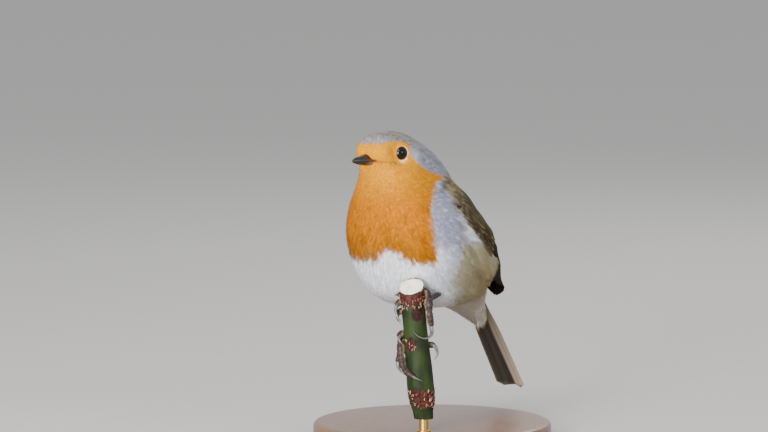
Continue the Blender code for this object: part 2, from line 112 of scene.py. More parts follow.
class PlumageSettings(bpy.types.PropertyGroup):
    """Colours and proportions of the coat of feathers."""
    throat: colour_setting("Throat", "CC8604", "Light orange of the face and throat")
    breast: colour_setting("Breast", "B46A02", "Orange of the breast")
    breast_low: colour_setting("Lower breast", "945905", "Deeper orange above the belly")
    grey: colour_setting("Side grey", "9699AC", "Lilac grey that borders the orange")
    belly: colour_setting("Belly", "F2F5FA", "White of the belly")
    vent: colour_setting("Vent", "C4BEB0", "Grey white under the tail")
    flank: colour_setting("Flank", "A0967A", "Olive buff of the flanks")
    flank_warm: colour_setting("Warm flank", "8E7850", "Warmer buff of the flanks' rear")
    crown: colour_setting("Crown", "7C6E51", "Olive that streaks the grey of the crown")
    # This colour paints the gape's dusky line, and painted shade in front of and under the eye.
    dusk_and_eye_shade: colour_setting("Lore", "8A5A26", "Dusky mark in front of the eye")
    gape: colour_setting("Gape", "1E1210", "Dark skin at the bill's corners")
    back: colour_setting("Back", "887E60", "Olive brown of crown, nape and back")
    ring: colour_setting("Eye ring", "FFD39A", "Pale ring of small feathers round the eye")
    wing: colour_setting("Wing", "271A11", "Dark brown of the flight feathers")
    wing_edge: colour_setting("Wing edge", "857557", "Buff edge of the flight feathers")
    # The wing tip's near black is painted shade of the long flight feathers' underside.
    wing_tip_shade: colour_setting("Wing tip", "150D0A", "Near black of the longest flight feathers")
    covert: colour_setting("Wing covert", "302818", "Olive brown of the wing coverts")
    tail: colour_setting("Tail", "403A34", "Dark brown of the tail")
    # The tail's pale edge colour also paints the highlight on the left outer vane.
    tail_edge_and_highlight: colour_setting("Tail edge", "A2927F", "Paler edge of the tail feathers")
    length: size_setting("Feather length", 1.0, "Length of the body feathers against the usual one")
    spacing: size_setting("Feather spacing", 1.0, "Distance between roots against the usual one", 0.8)


class BodySettings(bpy.types.PropertyGroup):
    """Colours of the bare parts."""
    iris: colour_setting("Iris", "0B0706", "Very dark brown of the iris")
    lid: colour_setting("Lid", "1F1613", "Bare rim of the eyelids")
    bill: colour_setting("Bill", "160D11", "Dark horn of the bill")
    bill_base: colour_setting("Bill base", "8A5A46", "Reddish base of the lower bill")
    leg: colour_setting("Leg", "302220", "Brown of the scaled legs and toes")
    pad: colour_setting("Pad", "94805C", "Pale skin between and under the scales")
    claw: colour_setting("Claw", "55504E", "Grey horn of the claws")


class PerchSettings(bpy.types.PropertyGroup):
    """Colours of the rose stem and its stand."""
    bark: colour_setting("Bark", "202D0D", "Green of the young bark")
    bark_dark: colour_setting("Dark bark", "141D08", "Shaded green of the bark")
    scar: colour_setting("Scar", "3B1710", "Red brown of leaf scars and bud scales")
    flake: colour_setting("Flake", "A0756A", "Dry pinkish edges of the torn bark")
    wood: colour_setting("Cut wood", "E6DCCB", "Pale wood of the cut")
    stand: colour_setting("Stand", "6B4728", "Turned and waxed walnut")
    brass: colour_setting("Brass", "C9A257", "Brushed brass of the rod")


class StageSettings(bpy.types.PropertyGroup):
    """The plain studio."""
    floor: colour_setting("Floor", "ABA8A4", "Pale floor")
    key: bpy.props.FloatProperty(name="Key light", description="Power of the large soft light",
                                 default=10.0, min=0.0, subtype="POWER")
    sky: size_setting("Sky", 0.95, "Strength of the even light from all round", 0.0)


# Numbers and noise

def soft(value, low, high):
    """A smooth step from 0 at low to 1 at high."""
    t = np.clip((value - low) / (high - low), 0.0, 1.0)
    return t * t * (3 - 2 * t)


def bell(away, width):
    """A smooth bump of height 1 that falls away on both sides."""
    return np.exp(-(away / width) ** 2)


def read(table, place):
    """Values of a two-column table at places between its rows."""
    rows = sorted(table)
    return np.interp(place, [row[0] for row in rows], [row[1] for row in rows])


def mottle(points, scale, seed=0.0):
    """Smooth noise at points, from about -1 to 1."""
    shift = Vector((seed, seed * 1.7, seed * 0.6))
    return np.array([noise.noise(Vector(p) / scale + shift) for p in points])


def unit(rows):
    """Rows of an array made one long."""
    return rows / (np.linalg.norm(rows, axis=1, keepdims=True) + 1e-12)


def over(base, colour, share):
    """Lay a colour over base colours, by a share for each point."""
    share = np.clip(share, 0.0, 1.0)[:, None]
    return np.asarray(base)[..., :3] * (1 - share) + np.asarray(colour)[..., :3] * share


def on_side(point, sign):
    """A point or direction of the left side, moved to the side asked for."""
    return Vector((point.x * sign, point.y, point.z))


# Pieces

def add_object(name, data):
    """Link a new object to the scene."""
    obj = bpy.data.objects.new(name, data)
    bpy.context.scene.collection.objects.link(obj)
    return obj


def finish_mesh(name, bm):
    """A smooth mesh in metres in the solids' frame, from a bmesh in bird millimetres."""
    mesh = bpy.data.meshes.new(name)
    bm.to_mesh(mesh)
    bm.free()
    mesh.transform(Matrix.Scale(MM, 4) @ Matrix.Translation(BIRD))
    mesh.shade_smooth()
    return mesh


def enter_piece(name, mesh, material, replaces=()):
    """Enter a finished mesh as a piece of the model."""
    mesh.materials.append(material)
    obj = add_object(name, mesh)
    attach(obj, "root")
    if replaces:
        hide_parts(*replaces)
    return obj


def place_piece(name, bm, material, replaces=(), smooth=40.0):
    """Turn a bmesh into a piece that is sharp where its faces turn by more than smooth degrees."""
    bmesh.ops.recalc_face_normals(bm, faces=bm.faces[:])
    mesh = finish_mesh(name, bm)
    mesh.set_sharp_from_angle(angle=math.radians(smooth))
    return enter_piece(name, mesh, material, replaces)


def to_bird(mesh):
    """The vertices of a mesh in metres as bird millimetres."""
    flat = np.empty(len(mesh.vertices) * 3)
    mesh.vertices.foreach_get("co", flat)
    return flat.reshape(-1, 3) / MM - BIRD


def paint(mesh, colours):
    """Store one colour for each vertex, or one for all."""
    layer = mesh.color_attributes.new("plumage", "FLOAT_COLOR", "POINT")
    full = np.ones((len(mesh.vertices), 4), np.float32)
    full[:, :3] = colours
    layer.data.foreach_set("color", full.ravel())


def stored(mesh, name):
    """One stored number for each vertex."""
    return np.array([item.value for item in mesh.attributes[name].data])


def to_millimetres(bm):
    """Bring a bmesh in metres into bird millimetres."""
    bmesh.ops.scale(bm, vec=(1 / MM,) * 3, verts=bm.verts[:])
    bmesh.ops.translate(bm, vec=-BIRD, verts=bm.verts[:])


def node_copy(name):
    """A merged copy of a solid's mesh, in bird millimetres."""
    bm = bmesh.new()
    bm.from_mesh(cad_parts[name].data)
    bmesh.ops.remove_doubles(bm, verts=bm.verts[:], dist=0.01 * MM)
    to_millimetres(bm)
    bmesh.ops.recalc_face_normals(bm, faces=bm.faces[:])
    bm.normal_update()
    return bm


def solid_tree(*names):
    """A tree that finds the nearest point on solids, in bird millimetres."""
    joined = bmesh.new()
    for name in names:
        joined.from_mesh(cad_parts[name].data)
    to_millimetres(joined)
    tree = BVHTree.FromBMesh(joined)
    joined.free()
    return tree


# Runs of rings

def spline(values, steps):
    """A smooth run through rows of numbers, with steps pieces between two rows."""
    rows = [Vector(v) for v in values]
    ends = [rows[0] * 2 - rows[1]] + rows + [rows[-1] * 2 - rows[-2]]
    run = []
    for i in range(1, len(ends) - 2):
        before, start, end, after = ends[i - 1:i + 3]
        for k in range(steps):
            t = k / steps
            run.append(0.5 * (2 * start + (end - before) * t
                              + (2 * before - 5 * start + 4 * end - after) * t ** 2
                              + (3 * start - before - 3 * end + after) * t ** 3))
    return run + [rows[-1]]


def even_run(run, count):
    """The same run with points at even distances."""
    reach = np.concatenate([[0.0], np.cumsum([(b - a).length for a, b in zip(run, run[1:])])])
    spots = np.array(run)
    return [Vector([np.interp(d, reach, spots[:, k]) for k in range(3)])
            for d in np.linspace(0, reach[-1], count)]


def tangent(run, i):
    """The direction of a run of points at one of them."""
    return (run[min(i + 1, len(run) - 1)] - run[max(i - 1, 0)]).normalized()


def stations(run, sizes, up):
    """Matrices that carry a unit circle to rings along a run; up is a direction, or gives one at a point."""
    made = []
    for i, (point, size) in enumerate(zip(run, sizes)):
        along = tangent(run, i)
        top = up(point) if callable(up) else up
        rise = (top - along * top.dot(along)).normalized()
        turn = Matrix((rise.cross(along), rise, along)).transposed().to_4x4()
        made.append(Matrix.Translation(point) @ turn @ Matrix.Diagonal((*size, 1.0, 1.0)))
    return made


def sweep(bm, rings, sides, shape=None):
    """Extrude a capped circle through ring matrices. shape(share, x, y) reshapes each ring's points."""
    start = bmesh.ops.create_circle(bm, cap_ends=True, segments=sides, radius=1.0, matrix=rings[0])
    loops = [start["verts"]]
    cap = start["verts"][0].link_faces[0]
    inner = []
    for before, after in zip(rings, rings[1:]):
        inner.append(cap)
        grown = bmesh.ops.extrude_face_region(bm, geom=[cap])["geom"]
        verts = [g for g in grown if isinstance(g, bmesh.types.BMVert)]
        cap = next(g for g in grown if isinstance(g, bmesh.types.BMFace))
        bmesh.ops.transform(bm, matrix=after @ before.inverted(), verts=verts)
        loops.append(verts)
    bmesh.ops.delete(bm, geom=inner[1:], context="FACES_ONLY")
    if shape:
        for k, (ring, loop) in enumerate(zip(rings, loops)):
            back = ring.inverted()
            for vert in loop:
                flat = back @ vert.co
                x, y = shape(k / (len(rings) - 1), flat.x, flat.y)
                vert.co = ring @ Vector((x, y, flat.z))
    return loops


def turn_round(bm, geom, steps):
    """Spin edges once round Z."""
    bmesh.ops.spin(bm, geom=geom, cent=(0, 0, 0), axis=(0, 0, 1), angle=2 * math.pi, steps=steps,
                   use_merge=True)


# Materials

def add_node(material, kind, inputs=None, **settings):
    """Add one shader node, set its own settings, and fill or link its inputs."""
    made = material.node_tree.nodes.new("ShaderNode" + kind)
    for name, value in settings.items():
        setattr(made, name, value)
    for name, value in (inputs or {}).items():
        if isinstance(value, bpy.types.NodeSocket):
            material.node_tree.links.new(value, made.inputs[name])
        else:
            made.inputs[name].default_value = value
    return made


def start_material(name, **values):
    """A new Principled material with values set on the shader's own sockets."""
    material = bpy.data.materials.new(name)
    material.use_nodes = True
    shader = material.node_tree.nodes["Principled BSDF"]
    for key, value in values.items():
        shader.inputs[key.replace("_", " ")].default_value = value
    return material, shader


def drive(material, shader, colour=None, shade=None, height=None, strength=0.0, depth=0.0):
    """Link a colour times a shade to the shader, and a height as bumps that many mm deep."""
    if shade:
        mixed = add_node(material, "Mix", {0: 1.0, 6: colour, 7: shade}, data_type="RGBA",
                         blend_type="MULTIPLY")
        colour = mixed.outputs[2]
    if colour:
        material.node_tree.links.new(colour, shader.inputs["Base Color"])
    if height:
        bump = add_node(material, "Bump", {"Strength": strength, "Distance": depth * MM,
                                           "Height": height})
        material.node_tree.links.new(bump.outputs["Normal"], shader.inputs["Normal"])
    return material


def rgba(colour):
    """A colour setting with full alpha."""
    return (*colour, 1.0)


def grown_material(name, pattern, size, shades, stretch=(1.0, 1.0, 1.0), relief=(0.0, 0.0), **values):
    """A grown surface: its painted colour, shaded by a pattern of that many mm that may stand in relief."""
    material, shader = start_material(name, **values)
    colour = add_node(material, "Attribute", attribute_name="plumage")
    place = add_node(material, "TexCoord")
    grain = add_node(material, "Mapping", {"Vector": place.outputs["Object"], "Scale": stretch})
    kind, detail, output = pattern
    made = add_node(material, kind, {"Vector": grain.outputs["Vector"], "Scale": 1 / (size * MM),
                                     "Detail": detail})
    ends = dict(zip(("From Min", "From Max", "To Min", "To Max"), shades))
    shade = add_node(material, "MapRange", {"Value": made.outputs[output], **ends})
    height = made.outputs[output] if relief[0] else None
    return drive(material, shader, colour.outputs["Color"], shade.outputs["Result"], height, *relief)


def feather_material(name, roughness):
    """Feather keratin with loose barbs: matt, so that only its colour and fine streaks show."""
    # Barbs 0.3 mm apart, about twice their true spacing, so that they show.
    return grown_material(name, ("TexNoise", 2.0, "Fac"), 0.6, (0.3, 0.7, 0.86, 1.1),
                          Roughness=roughness, Specular_IOR_Level=0.06, IOR=1.54)


def scale_material(name, roughness, size, gloss=0.5):
    """Bare scaly or horny skin: satin, with the fine relief of its scales."""
    return grown_material(name, ("TexVoronoi", 0.0, "Distance"), size, (0.0, 0.7, 1.08, 0.86),
                          relief=(0.3, 0.06), Roughness=roughness, Specular_IOR_Level=gloss, IOR=1.5)


def bark_material():
    """Young rose bark: smooth waxy green with fine lengthwise streaks and rough red brown scars."""
    return grown_material("young_rose_bark", ("TexNoise", 4.0, "Fac"), 1.1, (0.3, 0.7, 0.78, 1.18),
                          stretch=(1.0, 1.0, 0.22), relief=(0.4, 0.15),
                          Roughness=0.62, Specular_IOR_Level=0.2, IOR=1.45)


def eye_material():
    """A wet dark eye: brown iris and black pupil behind a clear film of tears that mirrors the light."""
    material, shader = start_material("wet_eye", Roughness=0.03, IOR=1.376, Specular_IOR_Level=0.4)
    colour = add_node(material, "Attribute", attribute_name="plumage")
    return drive(material, shader, colour.outputs["Color"])


def vane_material(name):
    """Close-knit feather vane: satin keratin with fine slanting barbs and a firm shaft."""
    material, shader = start_material(name, Roughness=0.6, Specular_IOR_Level=0.03, IOR=1.54)
    colour = add_node(material, "Attribute", attribute_name="plumage")
    place = add_node(material, "UVMap", uv_map="vane")
    parts = add_node(material, "SeparateXYZ", {"Vector": place.outputs["UV"]})
    across = add_node(material, "Math", {0: parts.outputs["Y"]}, operation="ABSOLUTE")
    slant = add_node(material, "Math", {0: across.outputs[0], 1: -0.8, 2: parts.outputs["X"]},
                     operation="MULTIPLY_ADD")
    # Barbs 0.35 mm apart, about twice their true spacing, so that they show. The map is in centimetres.
    line = add_node(material, "Math", {0: slant.outputs[0], 1: 2 * math.pi / 0.035}, operation="MULTIPLY")
    wave = add_node(material, "Math", {0: line.outputs[0]}, operation="SINE")
    shade = add_node(material, "MapRange", {"Value": wave.outputs[0], "From Min": -1.0, "To Min": 0.84,
                                            "To Max": 1.1})
    shaft = add_node(material, "MapRange", {"Value": across.outputs[0], "From Min": 0.008, "From Max": 0.02,
                                            "To Min": 0.55, "To Max": 1.0})
    both = add_node(material, "Math", {0: shade.outputs["Result"], 1: shaft.outputs["Result"]},
                    operation="MULTIPLY")
    return drive(material, shader, colour.outputs["Color"], both.outputs[0], wave.outputs[0], 0.35, 0.05)


def wood_material():
    """Turned walnut under thin wax: brown with darker growth rings and fine pores along the grain."""
    material, shader = start_material("waxed_walnut", Roughness=0.38, Specular_IOR_Level=0.5, IOR=1.5,
                                      Coat_Weight=0.25, Coat_Roughness=0.3)
    place = add_node(material, "TexCoord")
    grain = add_node(material, "Mapping", {"Vector": place.outputs["Object"], "Scale": (0.16, 1.0, 1.0),
                                           "Rotation": (0.0, 0.0, math.radians(20))})
    # Growth rings are bands cut from a slow noise of 7 mm. The pores are 0.6 mm, coarser than the
    # real 0.2 mm, so that they show.
    rings = add_node(material, "TexNoise", {"Vector": grain.outputs["Vector"], "Scale": 1 / (7.0 * MM),
                                            "Detail": 3.0, "Distortion": 0.6})
    bands = add_node(material, "Math", {0: rings.outputs["Fac"], 1: 9.0}, operation="MULTIPLY")
    band = add_node(material, "Math", {0: bands.outputs[0]}, operation="FRACT")
    pores = add_node(material, "TexNoise", {"Vector": grain.outputs["Vector"], "Scale": 1 / (0.6 * MM),
                                            "Detail": 2.0})
    shade = add_node(material, "MapRange", {"Value": band.outputs[0], "To Min": 0.72, "To Max": 1.15})
    fine = add_node(material, "MapRange", {"Value": pores.outputs["Fac"], "From Min": 0.35, "From Max": 0.6,
                                           "To Min": 0.75, "To Max": 1.05})
    both = add_node(material, "Math", {0: shade.outputs["Result"], 1: fine.outputs["Result"]},
                    operation="MULTIPLY")
    colour = rgba(bpy.context.scene.robin_perch.stand)
    return drive(material, shader, colour, both.outputs[0], pores.outputs["Fac"], 0.15, 0.1)


def brass_material():
    """Lathe-brushed brass: warm metal with fine rings that blur its gloss."""
    material, shader = start_material("brushed_brass", Metallic=1.0,
                                      Base_Color=rgba(bpy.context.scene.robin_perch.brass))
    place = add_node(material, "TexCoord")
    grain = add_node(material, "Mapping", {"Vector": place.outputs["Object"], "Scale": (0.1, 0.1, 1.0)})
    brush = add_node(material, "TexNoise", {"Vector": grain.outputs["Vector"], "Scale": 1 / (0.25 * MM)})
    gloss = add_node(material, "MapRange", {"Value": brush.outputs["Fac"], "To Min": 0.22, "To Max": 0.42})
    material.node_tree.links.new(gloss.outputs["Result"], shader.inputs["Roughness"])
    return drive(material, shader, height=brush.outputs["Fac"], strength=0.1, depth=0.05)


# Markings. Heights and depths are bird millimetres; the two sides match.

# Height, and how far back the orange reaches there.
BIB_BACK = ((-9.0, -13.5), (-5.6, -14.3), (1.0, -15.9), (6.7, -16.7), (12.2, -15.9), (17.6, -13.3),
            (22.6, -9.2), (24.4, -3.6), (25.4, -3.4), (26.4, -7.0), (28.0, -11.0), (30.0, -13.5),
            (32.2, -15.4), (34.7, -17.0), (37.5, -16.8), (41.0, -16.0))
# Place along the head, and how high the orange reaches there.
BIB_TOP = ((-36.0, 36.0), (-33.0, 36.9), (-30.5, 38.5), (-27.0, 39.4), (-22.0, 39.8), (-18.0, 39.4),
           (-14.0, 37.8), (-11.0, 36.5))
# Height, and how far back the grey border reaches there.
GREY_BACK = ((-12.0, -10.0), (-4.0, -5.0), (4.0, -3.8), (9.6, -4.0), (16.9, -5.0), (22.8, -6.4),
             (24.0, -4.0), (25.6, 2.0), (28.0, 3.0), (35.9, -3.0), (39.5, -9.0), (41.5, -15.0),
             (43.5, -20.0))
BIB_FOOT = -6.2
# Height and place of the white notch in the bib's foot, and its width.
BIB_NOTCH = (5.2, 8.0, 5.0)
# Distance down the folded wing, and how far back over it the side's feathers reach there.
PLUME_EDGE = ((-6.0, 5.0), (0.0, 4.0), (6.0, 3.0), (15.0, 2.0), (24.0, 1.8), (30.0, 0.4), (36.0, -0.6),
              (41.0, -2.4), (45.0, -0.6), (50.0, 5.5), (54.0, 12.0))
# Distance forward over the wing, and how far down it the back's feathers reach there.
MANTLE_EDGE = ((-12.0, 27.0), (-8.0, 25.0), (-4.0, 22.0), (0.0, 18.0), (2.0, 13.0))
# Height over the tail's root, and how far down the tail the coat reaches there.
TAIL_EDGE = ((-6.0, 3.5), (-3.5, 3.0), (-1.0, -1.0), (1.5, -3.0), (5.0, -4.0))
# How far forward the belly's white begins at each height.
FLANK_LINE = ((-28.0, 8.0), (-22.0, 0.0), (-14.0, -8.0), (-4.0, -8.0), (8.0, -2.0), (14.0, 4.0))
# Place along the head, and half the width of the dark gape line there.
GAPE_HALF = ((-31.0, 1.0), (-30.0, 0.7), (-29.1, 0.1))
# Middle of the painted shade under the eye: place along and height.
UNDER_EYE_SHADE = (-24.5, 31.2)


def wing_place(points):
    """Distance down the folded wing and forward over it."""
    away = points - SHOULDER
    return away @ WING_DOWN, away @ WING_FRONT


def off_eye(points):
    """Distance from the nearer eye, share of the lids' opening, and the way out from its axis."""
    sign = np.where(points[:, :1] < 0, -1.0, 1.0) * [[1, 0, 0]] + [[0, 1, 1]]
    away = points * sign - EYE
    far = np.linalg.norm(away, axis=1)
    ahead = away @ EYE_FACING
    out = unit(away - ahead[:, None] * EYE_FACING) * sign
    angle = np.degrees(np.arccos(np.clip(ahead / far, -1, 1)))
    return far, angle / lid_angle(out[:, 2]), out


def lid_angle(high):
    """The opening's angle where its rim points up by this much."""
    corner, top, bottom = LID_ANGLES
    return corner + ((top + bottom) / 2 - corner) * high ** 2 + (top - bottom) / 2 * high


def body_colours(look, points, ragged, slow):
    """Olive back, grey sides, white belly and pale vent."""
    x, y, z = points.T
    side = np.abs(x)
    down, front = wing_place(points)
    # The back turns to buff on the flanks, warmer along the wing's lower edge.
    colours = over(look.back, look.flank, soft(y - 4.0 + z * 0.9, 14.0, 2.0))
    warm = soft(down + ragged, 28.0, 36.0) * soft(front, 15.0, 10.0) * soft(front, 2.0, 6.0)
    colours = over(colours, look.flank_warm, warm * soft(side, 12.0, 18.0) * 0.65)
    # The grey border runs from the forehead down the sides of the bib, streaked with olive on top.
    fine = mottle(points * (1.0, 1.0, 0.7), 1.2, 3.0)
    top = soft(z, 33.0, 40.0) * (0.35 + 0.5 * soft(fine, -0.5, 0.4))
    nape = soft(y, -17.0, -9.0) * soft(z, 25.0, 30.0) * 0.65 * soft(fine, -0.25, 0.3)
    grey = over(look.grey, look.crown, np.maximum(top, nape))
    border = soft(read(GREY_BACK, z) - y + ragged, -1.6, 1.6) * soft(z, -13.0, -4.0)
    colours = over(colours, grey, border)
    # The belly is white, with grey down where it meets the flanks.
    flank_line = read(FLANK_LINE, z)
    white = soft(flank_line - y + ragged * 3, -5.0, 5.0) * soft(z - ragged, 2.0, -3.0)
    colours = over(colours, look.belly, white)
    down_grey = soft(y + slow * 3, -19.0, -9.0) * soft(z, 6.0, -4.0) * soft(z, -22.0, -12.0)
    colours = over(colours, look.grey, down_grey * soft(flank_line - y, -3.0, 2.0) * 0.5)
    # Pale plumes lie over the wing's front edge.
    edge = front + ragged - read(PLUME_EDGE, down)
    strand = soft(mottle(points * (1.0, 1.5, 0.45), 1.3, 12.0), -0.5, 0.3)
    plume = soft(edge, -0.6, 0.6) * soft(down, 0.0, 4.0) * soft(z + ragged * 2.0, -1.0, 3.0)
    plume = plume * soft(side, 11.0, 14.0)
    plume = plume * soft(y - ragged, -5.0, -1.0) * soft(y, 24.0, 19.0)
    colours = over(colours, look.grey, plume)
    colours = over(colours, look.belly, plume * (0.3 + 0.7 * strand) * soft(edge, 9.5, 3.5))
    # Down under the tail.
    high = (points - TAIL_ROOT) @ (0.0, 0.70, 0.72)
    under = soft(y * 0.5 - z, 22.0, 32.0) * soft(side, 15.0, 9.0) * soft(high, 4.5, 1.0)
    colours = over(colours, look.vent, under)
    # Loose grey and white plumes show as strands.
    loose = soft(side, 11.0, 15.0) * soft(z, -6.0, 0.0) * soft(z, 26.0, 22.0) * soft(y, 14.0, 6.0)
    return colours * (1 + 0.35 * loose * mottle(points * (1.0, 1.6, 0.4), 0.8, 14.0))[:, None]


def bib_colours(look, points, slow):
    """The orange bib, deeper towards the belly and streaked with olive at its foot."""
    x, _y, z = points.T
    orange = over(look.throat, look.breast, soft(z, 30.0, 12.0))
    orange = over(orange, look.breast_low, soft(z + slow * 5, 8.0, -7.0) * 0.8)
    blotch = soft(mottle(points * (1.6, 1.0, 0.6), 2.6, 7.0), 0.1, 0.5)
    orange = over(orange, look.breast_low, blotch * soft(z, 18.0, 8.0) * 0.5)
    streak = soft(mottle(points * (1.6, 1.6, 0.4), 1.4, 21.0), 0.0, 0.35) * soft(z, 2.0, -4.0)
    return over(orange, look.back, streak * soft(x, 6.0, 0.0) * 0.6)


def face_marks(look, colours, points, ragged):
    """The eye's pale ring, painted shade in front of and under the eye, and the gape's dark line."""
    x, y, z = points.T
    side = np.abs(x)
    far = off_eye(points)[0]
    ring = soft(far, 3.6, 3.3) * (0.12 + 0.88 * soft(y + 20.7 - (z - 35.4), -2.5, 1.5))
    colours = over(colours, look.ring, ring)
    # Painted shade in front of the eye.
    dusk_and_eye_shade = soft(far, 4.8, 3.3) * soft(y, -21.6, -23.2) * (0.45 + 0.2 * ragged)
    colours = over(colours, look.dusk_and_eye_shade, dusk_and_eye_shade)
    # The gape's line runs back from the bill's corner to a dark spot under the eye, which is painted shade.
    off_line = np.abs(z - 32.3 + (y + 28.0) * 0.12)
    line = soft(off_line, 0.6, 0.15) * soft(y, -22.6, -24.6) * soft(side, 2.0, 3.0) * 0.7
    colours = over(colours, look.dusk_and_eye_shade, line)
    spot = (y - UNDER_EYE_SHADE[0]) ** 2 + (z - UNDER_EYE_SHADE[1]) ** 2
    colours = over(colours, look.dusk_and_eye_shade, soft(spot + ragged * 0.3, 1.6, 0.2) * soft(side, 3.0, 5.0) * 0.6)
    corner = soft(off_line - read(GAPE_HALF, y), 0.2, -0.15) * soft(y, -29.0, -29.6)
    return over(colours, look.gape, corner * soft(side, 2.0, 3.0) * 0.9)


def markings(points):
    """The coat's colours at points of the bird, the same for skin and feathers."""
    look = bpy.context.scene.robin_plumage
    x, y, z = points.T
    ragged = mottle(points, 1.6) * 1.1 + mottle(points, 0.6, 5.0) * 0.7
    slow = mottle(points, 6.0, 9.0)
    height, place, width = BIB_NOTCH
    foot = BIB_FOOT + height * bell(x - place, width)
    bib = soft(read(BIB_BACK, z) - y + ragged * 0.5, -0.9, 0.9) * soft(z - foot + ragged * 1.6, -1.3, 1.3)
    bib = bib * soft(read(BIB_TOP, y) - z + ragged * 0.3, -0.4, 0.4)
    colours = over(body_colours(look, points, ragged, slow), bib_colours(look, points, slow), bib)
    return face_marks(look, colours, points, ragged) * (1 + 0.08 * slow[:, None])


# Skin

FLESH = ("head", "neck", "trunk", "rump", "thigh_left", "thigh_right")
SKIN_GROW = 0.25
SKIN_STEP = 0.65
# The bare skin between the feathers is a little darker than they are.
SKIN_SHADE = 0.8
# Round the eyes, out to this far from their middle, the skin has a finer net, and the socket reaches
# out to the second distance.
EYE_NET = 5.0
SOCKET = 4.6
# Share by which the rump narrows to let the tail's edges out.
RUMP_NARROWS = 0.52
# Distance from the bill, and the depth of the coat there.
COAT_DEPTH = ((0.0, -0.25), (3.5, -0.2), (6.0, 0.1), (12.0, 0.7), (22.0, 1.2), (36.0, 1.6), (60.0, 1.8),
              (74.0, 2.4), (84.0, 3.4))
# How far the folded wing's thick part goes into the skin.
WING_CUT = 43.0
# Where the feathers' edge crosses the bill: a point on each half and the way that the bare horn lies.
BILL_EDGE = {"bill_upper": (Vector((0.0, -29.9, 34.6)), Vector((0.0, -0.69, -0.72))),
             "bill_lower": (Vector((0.0, -28.5, 31.6)), Vector((0.0, -0.80, 0.60)))}
# Places where the face is fuller than its solid: middle, height in mm and spread in square mm.
FULL = ((Vector((5.5, -29.0, 37.5)), 0.7, 16.0), (Vector((3.0, -26.0, 42.0)), 1.7, 20.0),
        (Vector((16.0, 19.5, -12.5)), 1.8, 45.0))


def coat_depth(points):
    """How far the skin lies under the outline."""
    depth = read(COAT_DEPTH, np.linalg.norm(points - BILL_BASE, axis=1))
    depth = np.minimum(depth, read(((3.0, 0.0), (7.0, 1.2)), off_eye(points)[0]))
    for middle, height, spread in FULL:
        away = np.abs(points * (1, 0, 0)) + points * (0, 1, 1) - middle
        depth = depth - height * np.exp(-(away ** 2).sum(1) / spread)
    return depth


def part_of(name, place, outward):
    """The part of a solid behind a plane, closed again."""
    bm = node_copy(name)
    geom = bm.verts[:] + bm.edges[:] + bm.faces[:]
    cut = bmesh.ops.bisect_plane(bm, geom=geom, plane_co=place, plane_no=outward, clear_outer=True)
    rim = [g for g in cut["geom_cut"] if isinstance(g, bmesh.types.BMEdge)]
    bmesh.ops.contextual_create(bm, geom=rim)
    return bm


def make_skin():
    """One skin over the flesh, drawn in by the depth of the coat."""
    joined = bmesh.new()
    parts = [node_copy(name) for name in FLESH + ("eye_left", "eye_right")]
    parts += [part_of("wing_" + side, SHOULDER + WING_DOWN * WING_CUT, WING_DOWN) for side in SIDES]
    parts += [part_of(name, *edge) for name, edge in BILL_EDGE.items()]
    for part in parts:
        part.normal_update()
        for vert in part.verts:
            vert.co += vert.normal * SKIN_GROW
        part_mesh = bpy.data.meshes.new("part")
        part.to_mesh(part_mesh)
        part.free()
        joined.from_mesh(part_mesh)
        bpy.data.meshes.remove(part_mesh)
    mesh = bpy.data.meshes.new("skin")
    joined.to_mesh(mesh)
    joined.free()
    obj = add_object("skin", mesh)
    remesh = obj.modifiers.new("one skin", "REMESH")
    remesh.mode = "VOXEL"
    remesh.voxel_size = SKIN_STEP
    even = obj.modifiers.new("even", "SMOOTH")
    even.factor = 0.5
    even.iterations = 4
    graph = bpy.context.evaluated_depsgraph_get()
    smooth = bpy.data.meshes.new_from_object(obj.evaluated_get(graph))
    bpy.data.objects.remove(obj)
    bm = bmesh.new()
    bm.from_mesh(smooth)
    bpy.data.meshes.remove(smooth)
    far = off_eye(np.array([v.co for v in bm.verts]))[0]
    fine = [e for e in bm.edges if max(far[v.index] for v in e.verts) < EYE_NET]
    bmesh.ops.subdivide_edges(bm, edges=fine, cuts=1, use_grid_fill=True)
    bm.normal_update()
    depths = coat_depth(np.array([v.co for v in bm.verts])) + SKIN_GROW
    for vert, depth in zip(bm.verts, depths):
        vert.co -= vert.normal * depth
        vert.co.x *= 1 - RUMP_NARROWS * float(soft((vert.co - TAIL_ROOT).dot(TAIL_DOWN), -18.0, -5.0))
    bmesh.ops.smooth_vert(bm, verts=bm.verts[:], factor=0.5, use_axis_x=True, use_axis_y=True,
                          use_axis_z=True)
    open_eyes(bm)
    return bm


def open_eyes(bm):
    """Draw the skin in behind each eye and round its rim, so that the ball lies in a socket."""
    far, opening, _out = off_eye(np.array([v.co for v in bm.verts]))
    inside = soft(opening, 1.05, 0.96)
    rim = np.where(far < SOCKET, np.maximum(far, EYE_RADIUS + 0.12), far)
    depth = rim * (1 - inside) + (EYE_RADIUS - 0.6) * inside
    for vert, was, now in zip(bm.verts, far, depth):
        if was < SOCKET:
            middle = on_side(EYE, math.copysign(1.0, vert.co.x))
            vert.co = middle + (vert.co - middle) * (now / was)


def unwrap(obj):
    """Lay the skin out flat on its own map."""
    obj.data.uv_layers.new(name="OFBake")
    bpy.context.view_layer.objects.active = obj
    obj.select_set(True)
    bpy.ops.object.mode_set(mode="EDIT")
    bpy.ops.mesh.select_all(action="SELECT")
    bpy.ops.uv.smart_project(angle_limit=math.radians(66), island_margin=0.004)
    bpy.ops.object.mode_set(mode="OBJECT")
    obj.select_set(False)


class ROBIN_OT_skin(bpy.types.Operator):
    """Make the one skin that lies under the feathers"""
    bl_idname = "robin.skin"
    bl_label = "Skin"

    def execute(self, context):
        bm = make_skin()
        obj = place_piece("skin", bm, feather_material("down", 0.9), FLESH, 180.0)
        paint(obj.data, markings(to_bird(obj.data)) * SKIN_SHADE)
        unwrap(obj)
        return {"FINISHED"}


# Coat of feathers

